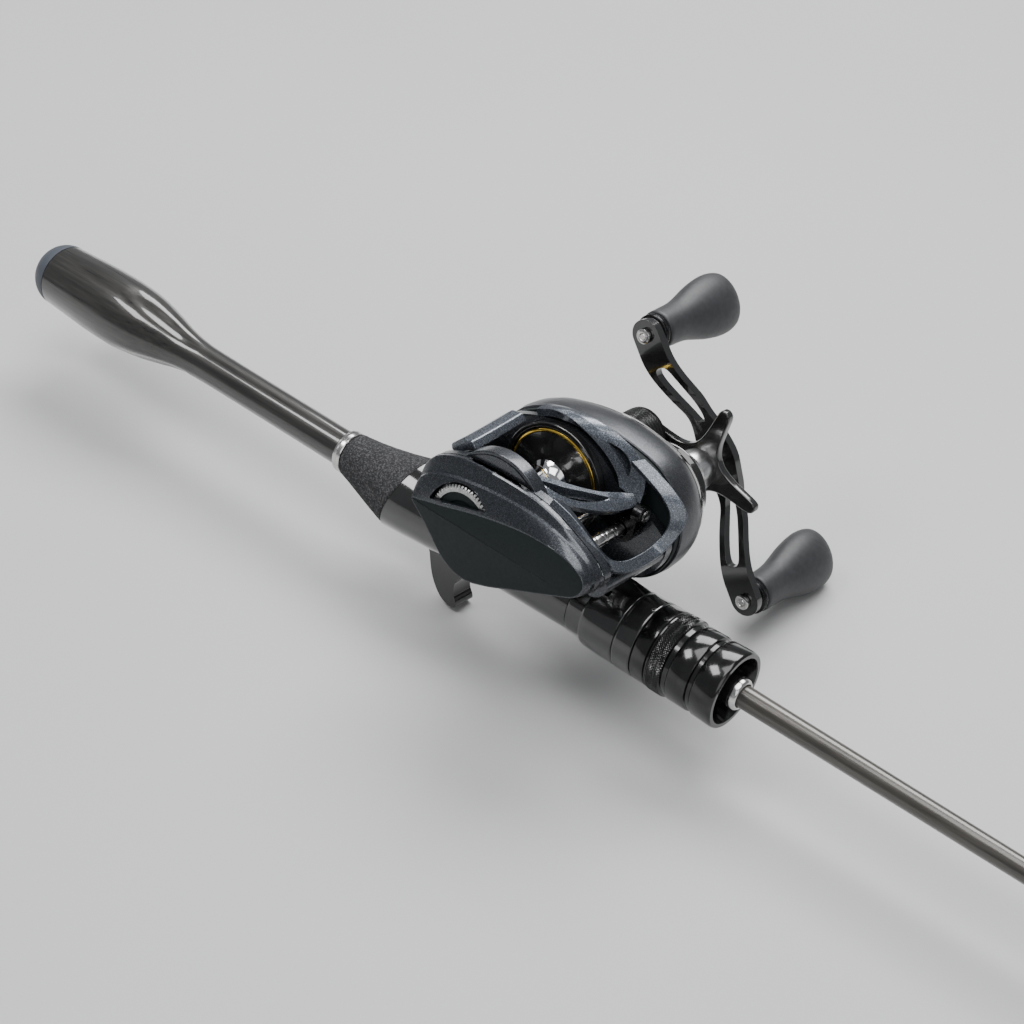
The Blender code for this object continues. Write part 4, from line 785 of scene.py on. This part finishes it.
def build_top_cover():
    bar = [((2.5, -20.4, 41.9), (12.6, -21.8, 37.9)), ((7.2, -16.9, 41.4), (16.2, -17.9, 37.0)),
        ((11.6, -13.2, 40.6), (19.6, -13.6, 36.2)), ((16.5, -8.2, 38.9), (23.5, -8.4, 35.0)),
        ((20.4, -3.2, 37.6), (26.1, -3.6, 34.3)), ((23.4, 1.0, 37.3), (27.8, 0.8, 34.3)),
        ((26.4, 3.9, 37.4), (28.9, 3.7, 34.9))]
    # The cover bar takes the lighter flake copy: a painted highlight.
    made = piece("cover_bar", ribbon(bar, 2.2, 6, 0.16), "rod", "flake_painted_highlight", ["top_cover"], sharp=24)
    slot = smooth([(9.4, -17.1), (14.4, -12.7), (19.2, -6.6), (22.9, -2.5), (22.0, -6.6), (18.8, -11.9),
        (14.0, -15.9)], 6)
    cut(made, loft([[(x, y, z) for x, y in slot] for z in (29, 46)]))
    round_edges(made, 0.28, 2, 24)

    arm = [((21.8, 3.6, 37.2), (28.9, 4.4, 35.2)), ((19.6, 4.6, 39.6), (28.1, 6.4, 39.4)),
        ((15.4, 5.0, 42.8), (25.2, 8.0, 44.6)), ((8.8, 5.0, 46.0), (18.2, 8.6, 48.0)),
        ((0.8, 5.0, 48.2), (8.4, 8.8, 49.4)), ((-5.6, 5.0, 47.8), (-1.4, 8.8, 48.8)),
        ((-11.4, 5.0, 45.2), (-9.6, 8.8, 46.6))]
    # The cover arm takes the lighter flake copy: a painted highlight.
    made = piece("cover_arm", ribbon(arm, 2.2, 6, 0.2), "rod", "flake_painted_highlight", ["top_cover"], sharp=24)
    window = smooth([(13.6, 46.6), (18.4, 46.0), (22.0, 43.6), (22.8, 40.4), (20.4, 42.4), (17.2, 44.4)], 5)
    cut(made, plate(window, 0, 12))
    round_edges(made, 0.28, 2, 24)


# ---- reel: palm side
def dial_window(radius, lip):
    """The lens between the dial's rim and a lip left along the flat face's edge."""
    edge = [spot for spot in shrunk(FACE_LINE, -lip) if spot[1] > DIAL[1] and math.dist(spot, DIAL) < radius]
    edge.sort()
    ends = [math.atan2(spot[1] - DIAL[1], spot[0] - DIAL[0]) for spot in (edge[-1], edge[0])]
    rim = [(DIAL[0] + radius * math.cos(ends[0] + (ends[1] - ends[0]) * k / 40),
        DIAL[1] + radius * math.sin(ends[0] + (ends[1] - ends[0]) * k / 40)) for k in range(41)]
    return edge + rim


def build_palm_side():
    rows = ((-22.9, -0.01), (-23.1, 0.0), (-24.3, 0.0), (-24.7, 0.035), (-25.3, 0.16), (-25.8, 0.31),
        (-26.15, 0.36), (-26.9, 0.40), (-27.6, 0.52), (-28.4, 0.72), (-29.0, 0.9), (-29.2, 0.975),
        (-29.25, 1.0))
    shell = piece("palm_shell", layered([(y, mixed(PALM_LINE, FACE_LINE, share)) for y, share in rows]),
        "side_plate", "flake", ["palm_side_plate"], sharp=22)
    cut(shell, cylinder(-28.2, -25.5, 11.7, DIAL, ROUND))
    cut(shell, plate(dial_window(11.7, 0.9), -31, -25.5))
    cut(shell, cylinder(-23.8, -20, 15.4, SPOOL, ROUND))
    round_edges(shell, 0.16, 2, 22)
    panel = shrunk(FACE_LINE, 0.35)
    piece("palm_panel", layered([(-28.9, panel), (-29.36, panel), (-29.5, shrunk(FACE_LINE, 0.6))]),
        "side_plate", "satin", ["palm_side_plate"], sharp=50)

    def ribs(place, radius, turn):
        if radius < 10:
            return radius
        wave = 0.5 + 0.5 * math.cos(58 * turn)
        return radius - 0.9 * (1 - min(1.0, wave * 2.2))

    rim = [(-27.9, 9.1), (-27.9, 10.7), (-27.5, 11.15), (-26.0, 11.2), (-25.8, 11.0), (-25.8, 9.1)]
    piece("dial_rim", revolve(rim, "Y", DIAL, 464, ribs), "dial", "ribbed", ["brake_dial"], sharp=40)
    face = [(-25.8, 1.7), (-25.8, 9.05), (-27.5, 9.05), (-27.5, 6.5), (-27.2, 6.2), (-27.2, 1.7)]
    piece("dial_face", revolve(face, "Y", DIAL, ROUND), "dial", "satin", ["brake_dial"], bevel=0.15)


# ---- reel: gear side
def build_gear_side():
    side = plate(shrunk(above(GEAR_LINE, FLOOR), 0.5), GEARBOX_IN - 2.3, GEARBOX_IN - 0.3,
        (circle(SPOOL, 4.6, SMALL), circle(WORM, 1.6, SMALL)))
    piece("side_plate_band", side, "rod", "satin", ["gear_side_plate"], bevel=0.25)
    rows = ((10.6, 0.985), (10.9, 1.0), (14.0, 1.01), (18.0, 1.0), (20.8, 0.972), (21.4, 0.958),
        (21.6, 0.942), (22.0, 0.936))
    hollow = ((22.0, 0.89), (10.6, 0.94))
    shell = layered([(y, scaled(GEAR_LINE, share, HEART)) for y, share in rows + hollow])
    caps = [face for face in shell.faces if len(face.verts) > 4]
    bmesh.ops.delete(shell, geom=caps, context="FACES_ONLY")
    shell.verts.ensure_lookup_table()
    count = len(GEAR_LINE)
    first, last = shell.verts[:count], shell.verts[-count:]
    for k in range(count):
        shell.faces.new((first[k - 1], first[k], last[k], last[k - 1]))
    piece("gearbox_band", shell, "rod", "grey_satin", ["gearbox_cover"], sharp=30)
    rows = ((22.05, 0.931, 12, 25), (22.4, 0.943, 12, 25), (23.6, 0.925, 13, 24), (25.6, 0.872, 16, 21.5),
        (27.6, 0.815, 18, 20), (29.4, 0.762, 19, 19), (31.0, 0.71, 20, 18.5), (31.9, 0.67, 20, 18.5),
        (32.2, 0.64, 20, 18.5))
    cap = piece("gearbox_cap", layered([(y, scaled(GEAR_LINE, share, middle)) for y, share, *middle in rows]),
        "rod", "gloss", ["gearbox_cover"], sharp=30)
    inside = ((21, 0.88, 12, 25), (25.6, 0.81, 16, 21.5), (29, 0.72, 19, 19))
    cut(cap, layered([(y, scaled(GEAR_LINE, share, middle)) for y, share, *middle in inside]))
    cut(cap, cylinder(24, 36, 9.0, CRANK))
    cut(cap, cylinder(24, 36, 1.4, SPOOL, SMALL))
    boss = [(28.4, 9.0), (28.4, 11.0), (31.6, 13.6), (32.6, 13.6), (33.2, 12.8), (33.4, 11.5), (34.6, 11.2),
        (35.6, 10.4), (36.1, 9.4), (36.2, 8.75), (36.2, 6.95), (28.4, 6.95)]
    piece("crank_boss", revolve(boss, "Y", CRANK), "rod", "gloss", ["gearbox_cover"], bevel=0.15, sharp=40)
    neck = [(36.25, 2.9), (36.25, 8.3), (36.6, 8.6), (39.2, 8.6), (39.8, 8.1), (39.8, 2.9)]
    piece("crank_neck", revolve(neck, "Y", CRANK), "rod", "bright_satin", ["gearbox_cover"], sharp=50)
    seat = [(31.0, 1.4), (31.0, 7.8), (32.8, 7.6), (33.4, 7.2), (33.6, 6.6), (33.6, 1.4)]
    piece("knob_boss", revolve(seat, "Y", SPOOL, FINE), "rod", "gloss", ["gearbox_cover"], bevel=0.12)
    for turn in (205, 150, 262):
        spot = (CRANK[0] + 17.4 * math.cos(math.radians(turn)),
            CRANK[1] + 17.4 * math.sin(math.radians(turn)))
        head = [(28.0, 0), (28.0, 1.5), (30.9, 1.5), (31.2, 1.2), (31.2, 0.6), (30.6, 0.5), (30.6, 0)]
        piece(f"cover_screw_{turn}", revolve(head, "Y", spot, 24), "rod", "steel", ["gearbox_cover"])


def build_tension_knob():
    places, ripple = knurled(37.9, 46.2, 8.2, 60, 0.35, 26)
    profile = [(36.8, 0), (36.8, 7.4), (37.2, 7.9), (37.6, 7.9), *places, (46.5, 8.0), (46.9, 8.0),
        (47.3, 7.5), (47.3, 5.6), (47.0, 5.2), (47.0, 0)]
    piece("tension_cap", revolve(profile, "Y", SPOOL, 240, ripple), "tension", "cap_knurl", ["tension_knob"],
        sharp=45)
    collar = [(33.9, 2.0), (33.9, 7.9), (34.2, 8.3), (35.8, 8.3), (36.5, 7.8), (36.5, 2.0)]
    piece("tension_collar", revolve(collar, "Y", SPOOL), "tension", "gold", ["tension_ring"], sharp=30)


# ---- reel: spool and level wind
def build_spool():
    gear, palm = 4.4, -19.0
    body = [(palm, 1.8), (palm, 10.5), (palm + 0.5, 11), (palm + 0.5, 13.6), (palm, 14.0), (palm + 0.2, 14.8),
        (palm + 0.7, 15.2), (palm + 1.3, 15.1), (palm + 1.6, 14.4), (palm + 2.0, 11.5), (palm + 2.6, 8.4),
        (palm + 3.4, 6.6), (palm + 3.4, 3.6), (gear - 3.4, 3.6), (gear - 3.4, 6.6), (gear - 2.6, 8.4),
        (gear - 2.0, 11.5), (gear - 1.6, 14.2), (gear - 0.6, 14.2), (gear, 13.6), (gear, 1.8)]
    piece("spool_body", revolve(body, "Y", SPOOL), "spool", "gloss", ["spool"], sharp=30)
    barrel = [(palm + 3.45, 3.8), (palm + 3.45, 6.7), (palm + 4.4, 5.7), (palm + 5.8, 4.95),
        (palm + 8.0, 4.65), (gear - 8.0, 4.65), (gear - 5.8, 4.95), (gear - 4.4, 5.7), (gear - 3.45, 6.7),
        (gear - 3.45, 3.8)]
    piece("spool_barrel", revolve(barrel, "Y", SPOOL, FINE), "spool", "arbor", ["spool"])
    rim = [(gear - 1.55, 14.25), (gear - 1.6, 14.9), (gear - 1.35, 15.2), (gear - 0.5, 15.2),
        (gear - 0.1, 14.9), (gear - 0.1, 14.25)]
    piece("spool_rim", revolve(rim, "Y", SPOOL, ROUND * 2), "spool", "gold", ["spool"], sharp=50)
    shaft = [(-24.2, 0), (-24.2, 1.3), (-24.0, 1.5), (8.4, 1.5), (8.4, 1.0), (27.2, 1.0), (27.2, 0)]
    piece("spool_spindle", revolve(shaft, "Y", SPOOL, SMALL), "spool", "steel", ["spool_shaft"])


def build_level_wind():
    groove = [(-19.5 + 28.7 * k / 150, 2.0) for k in range(151)]

    def cross(place, radius, turn):
        if radius < 1.99 or not -18.8 < place < 4.4:
            return radius
        wave = max(math.cos(turn + place * 1.5), math.cos(turn - place * 1.5))
        return radius - 0.05 * max(0.0, (wave - 0.86) / 0.14)

    worm = [(-21.4, 0), (-21.4, 1.4), (-19.5, 1.4), *groove, (9.2, 1.2), (12.8, 1.2), (12.8, 0)]
    piece("worm_rod", revolve(worm, "Y", WORM, 48, cross), "worm", "steel", ["worm_shaft"], sharp=60)
    rod = [(-19.5, 0), (-19.5, 0.9), (-19.3, 1.1), (4.7, 1.1), (4.9, 0.9), (4.9, 0)]
    piece("guide_bar", revolve(rod, "Y", GUIDE_ROD, SMALL), "rod", "steel", ["guide_rod"])

    outline = smooth([(17.4, 28.8), (17.3, 32.0), (20.5, 33.0), (24.4, 32.0), (27.6, 31.4), (29.4, 31.6),
        (29.9, 34.0), (31.4, 34.0), (31.5, 30.6), (31.0, 27.0), (29.6, 24.3), (25.6, 23.6), (22.4, 26.4)], 5)
    block = piece("guide_block", plate(outline, 0.2, 4.4), "line_guide", "anodised", ["line_guide"], sharp=35)
    cut(block, revolve(capped([(29.6, 2.5), (32.2, 2.5), (32.6, 2.2)]), "X", (2.3, 33.8), FINE), "UNION")
    cut(block, cylinder(-6, 8, 2.35, WORM, FINE))
    cut(block, cylinder(-6, 8, 1.45, GUIDE_ROD, SMALL))
    cut(block, revolve(capped([(24.0, 1.6), (36.0, 1.6)]), "X", (2.3, 33.8), FINE))
    round_edges(block, 0.3, 2, 35)
    eye = [(29.9, 1.15), (29.9, 1.55), (32.7, 1.55), (32.8, 1.9), (33.1, 1.8), (33.2, 1.45), (32.9, 1.15),
        (32.2, 1.0), (30.6, 1.0)]
    piece("line_eye", revolve(eye, "X", (2.3, 33.8), FINE), "line_guide", "ceramic", ["line_guide_eye"],
        sharp=50)


def build_thumb_bar():
    near = [(-13.4, 38.6), (-15.4, 40.3), (-19.0, 39.5), (-22.3, 36.0), (-21.8, 34.2), (-19, 35), (-16, 37)]
    sections = []
    for step in range(13):
        share = step / 12
        lift = 3.4 * share ** 1.2
        sections.append([(x + 1.6 * share, -17.3 + 19.6 * share, z + lift) for x, z in near])
    # The thumb bar takes the lighter flake copy: a painted highlight.
    piece("thumb_bar_pad", loft(sections), "thumb_bar", "flake_painted_highlight", ["thumb_bar"], bevel=0.4, sharp=20)


# ---- reel: crank
def crank_point(reach, side=0.0):
    spot = Vector(CRANK) + ALONG * reach + ACROSS * side
    return (spot.x, spot.y)


def arm_half(reach):
    """Half width of the arm: a boss in the middle, waists beside it, round ends."""
    share = abs(reach) / (REACH + 4.8)
    past = max(0.0, abs(reach) - REACH) / 4.8
    end = 4.8 * math.sqrt(max(0.0, 1 - past * past))
    return end - 0.9 * math.exp(-((share - 0.3) / 0.09) ** 2) + 1.6 * math.exp(-(share / 0.13) ** 2)


def arm_near(reach):
    share = abs(reach) / (REACH + 4.8)
    bend = 0.5 + 0.5 * math.cos(math.pi * min(1.0, max(0.0, (share - 0.16) / 0.62)))
    return HANDLE_INNER + HANDLE_SWEEP * bend


def build_star():
    rows, arms = [], 4
    root = ((-45, 7.6), (-30, 8.2), (-17, 10.6), (-10.5, 15.0), (-7.6, 19.4), (-4.5, 21.1), (0, 21.5),
        (3.6, 20.6), (6.2, 17.6), (10.5, 13.2), (19, 9.8), (32, 8.0))
    for k in range(arms):
        for turn, reach in root:
            angle = math.radians(-10 + 90 * k + turn)
            rows.append((CRANK[0] + reach * math.cos(angle), CRANK[1] + reach * math.sin(angle)))
    outline = smooth(rows, 3)
    made = piece("star_wheel", plate(outline, *STAR, (circle(CRANK, 2.85, SMALL),)), "star", "gloss",
        ["star_drag"])
    round_edges(made, 0.6, 3, 40)
    hub = [(40.6, 2.85), (40.6, 5.9), (41.1, 6.4), (46.6, 6.4), (47.2, 6.0), (48.3, 6.0), (48.3, 2.85)]
    piece("star_hub", revolve(hub, "Y", CRANK, FINE), "star", "bright_satin", ["star_drag"], sharp=50)
    for k in range(arms):
        angle = math.radians(-10 + 90 * k)
        ball = bmesh.new()
        spot = Vector((CRANK[0] + 10.4 * math.cos(angle), 51.0, CRANK[1] + 10.4 * math.sin(angle)))
        bmesh.ops.create_uvsphere(ball, u_segments=20, v_segments=12, radius=1.15,
            matrix=Matrix.Translation(spot))
        for vert in ball.verts:
            vert.co.y = 51.0 + (vert.co.y - 51.0) * 0.85
        piece(f"star_stud_{k + 1}", ball, "star", "steel", ["star_drag"], sharp=60)


def build_handle():
    end = REACH + 4.8
    stations = [-end * math.cos(math.pi * k / 96) for k in range(1, 96)]
    sections = []
    for reach in stations:
        half, near = arm_half(reach), arm_near(reach)
        left, right = crank_point(reach, -half), crank_point(reach, half)
        sections.append([(left[0], near, left[1]), (right[0], near, right[1]),
            (right[0], near + HANDLE_THICK, right[1]), (left[0], near + HANDLE_THICK, left[1])])
    arm = piece("crank_arm", loft(sections), "handle", "gloss", ["handle_arm"], sharp=30)
    through = (HANDLE_INNER - 5, HANDLE_INNER + HANDLE_SWEEP + 9)
    cut(arm, cylinder(*through, 2.8, CRANK, SMALL))
    for side in (-1, 1):
        slot = smooth([(11.6, 0.0), (12.6, 1.5), (20, 2.5), (29.6, 2.4), (31.6, 0.0), (29.6, -2.4),
            (20, -2.5), (12.6, -1.5)], 5)
        cut(arm, plate([crank_point(side * reach, across) for reach, across in slot], *through))
        cut(arm, cylinder(*through, 1.8, crank_point(side * REACH), SMALL))
    round_edges(arm, 0.5, 3, 30)
    shaft = [(10.6, 0), (10.6, 2.5), (59.4, 2.5), (60.6, 2.5), (61.0, 2.2), (61.0, 0)]
    piece("crank_shaft", revolve(shaft, "Y", CRANK, SMALL), "handle", "steel", ["drive_shaft"])
    hexed = [(60.5, 2.8), (60.5, 5.0), (61.0, 5.0), (61.4, 4.6), (62.1, 4.4), (62.7, 3.8), (62.9, 3.2),
        (62.9, 0), (61.9, 0), (61.9, 2.8)]
    piece("crank_nut", revolve(hexed, "Y", CRANK, FINE), "handle", "steel", ["handle_nut"], bevel=0.1,
        sharp=40)


def build_knobs():
    shape = flow([(0.0, 0.50, 0.72), (0.015, 0.60, 0.84), (0.1, 0.61, 0.85), (0.3, 0.66, 0.85),
        (0.55, 0.9, 0.97), (0.74, 1.0, 1.0), (0.88, 0.95, 0.93), (0.955, 0.80, 0.76), (0.99, 0.58, 0.52),
        (1.0, 0.34, 0.30)], 6)
    for letter, side in (("a", -1), ("b", 1)):
        hub = crank_point(side * REACH)
        inner = HANDLE_INNER - 0.3
        pin = [(inner - 1.2, 0), (inner - 1.2, 0.8), (inner - 0.95, 1.0), (inner - 1.2, 1.2),
            (inner - 1.2, 1.9), (inner - 0.9, 2.3), (inner, 2.3), (inner, 1.5), (inner + 38.5, 1.5),
            (inner + 38.5, 0)]
        piece(f"pin_{letter}", revolve(pin, "Y", hub, SMALL), "handle", "steel", [f"knob_pin_{letter}"],
            sharp=40)
        start = HANDLE_INNER + HANDLE_THICK + 0.3
        collar = [(start, 1.85), (start, 5.2), (start + 0.2, 5.4), (start + 0.9, 5.4), (start + 1.1, 5.15),
            (start + 1.3, 5.4), (start + 2.0, 5.4), (start + 2.2, 5.2), (start + 2.2, 1.85)]
        piece(f"collar_{letter}", revolve(collar, "Y", hub, FINE), f"knob_{letter}", "anodised",
            [f"knob_collar_{letter}"], sharp=50)
        start += 2.5
        sections = []
        for share, wide, thick in shape:
            points = []
            for k in range(FINE):
                turn = 2 * math.pi * k / FINE
                spot = Vector(hub) + ALONG * 9.6 * wide * math.cos(turn) + ACROSS * 6.6 * thick * math.sin(turn)
                points.append((spot.x, start + 37.4 * share, spot.y))
            sections.append(points)
        knob = piece(f"grip_{letter}", loft(sections), f"knob_{letter}", "soft", [f"knob_{letter}"], sharp=50)
        cut(knob, cylinder(start - 5, start + 34.4, 1.85, hub, SMALL))
        knob.data.shade_smooth()
        knob.data.set_sharp_from_angle(angle=math.radians(50))


build_frame()
build_top_cover()
build_palm_side()
build_gear_side()
build_tension_knob()
build_spool()
build_level_wind()
build_thumb_bar()
build_star()
build_handle()
build_knobs()

# ---- CAD nodes that keep their own shape
NODE_LOOKS = {"painted_metal": "satin", "brushed_steel": "steel", "brass": "brass", "matte_plastic": "soft",
    "gloss_plastic": "gloss", "aluminium": "anodised", "rubber": "foam"}
SLOT_LOOKS = {"flake": "flake", "pad": "pad", "gold": "gold", "ceramic": "ceramic", "carbon": "carbon"}


def dress_cad_nodes():
    """Every CAD node, shown or replaced, gets the finish of its material slot."""
    classes = {material["slot"]: material["class"] for material in frame["record"]["materials"]}
    slots = {part["node"]: part["material_slot"] for part in frame["record"]["subparts"]}
    for name, thing in frame["nodes"].items():
        slot = slots[name]
        look = SLOT_LOOKS.get(slot) or NODE_LOOKS[classes[slot]]
        thing.data.materials.clear()
        thing.data.materials.append(LOOKS[look].made)


dress_cad_nodes()


# ---- floor, light and camera
def area_light(name, spot, target, size, power, size_y=None):
    light = bpy.data.lights.new(name, "AREA")
    light.energy = power
    light.shape = "RECTANGLE"
    light.size = size
    light.size_y = size_y or size
    made = bpy.data.objects.new(name, light)
    bpy.context.scene.collection.objects.link(made)
    made.location = spot
    made.rotation_euler = (Vector(target) - Vector(spot)).to_track_quat("-Z", "Y").to_euler()
    return made


def build_stage():
    bm = bmesh.new()
    bmesh.ops.create_grid(bm, x_segments=4, y_segments=4, size=6.0)
    mesh = bpy.data.meshes.new("floor")
    bm.to_mesh(mesh)
    bm.free()
    mesh.materials.append(LOOKS["floor"].made)
    floor = bpy.data.objects.new("floor", mesh)
    floor.location = (0, 0, -0.0002)
    bpy.context.scene.collection.objects.link(floor)
    world = bpy.data.worlds.new("studio")
    world.use_nodes = True
    world.node_tree.nodes["Background"].inputs["Color"].default_value = (0.80, 0.82, 0.85, 1)
    world.node_tree.nodes["Background"].inputs["Strength"].default_value = 0.35
    bpy.context.scene.world = world
    reel = ROD @ Vector((0, 0, 0.02))
    area_light("key", reel + Vector((-0.35, 0.9, 1.1)), reel, 1.1, 26, 0.7)
    area_light("top", reel + Vector((0.15, -0.1, 1.3)), reel, 0.9, 12)
    area_light("fill", reel + Vector((0.9, -0.9, 0.8)), reel, 1.0, 4)
    area_light("slope", reel + Vector((-0.56, -0.42, 0.98)), reel, 0.5, 7, 0.35)


def build_camera():
    """The photograph's viewpoint, solved in the rod's frame."""
    right = Vector(VIEW_RIGHT).normalized()
    back = Vector(VIEW_BACK)
    back = (back - right * back.dot(right)).normalized()
    up = back.cross(right)
    local = Matrix((right, up, back)).transposed().to_4x4()
    local.translation = Vector(VIEW_PLACE)
    data = bpy.data.cameras.new("camera")
    data.sensor_width = SENSOR
    data.lens = LENS
    data.clip_start = 0.01
    camera = bpy.data.objects.new("camera", data)
    bpy.context.scene.collection.objects.link(camera)
    camera.matrix_world = ROD @ local
    bpy.context.scene.camera = camera


build_stage()
build_camera()
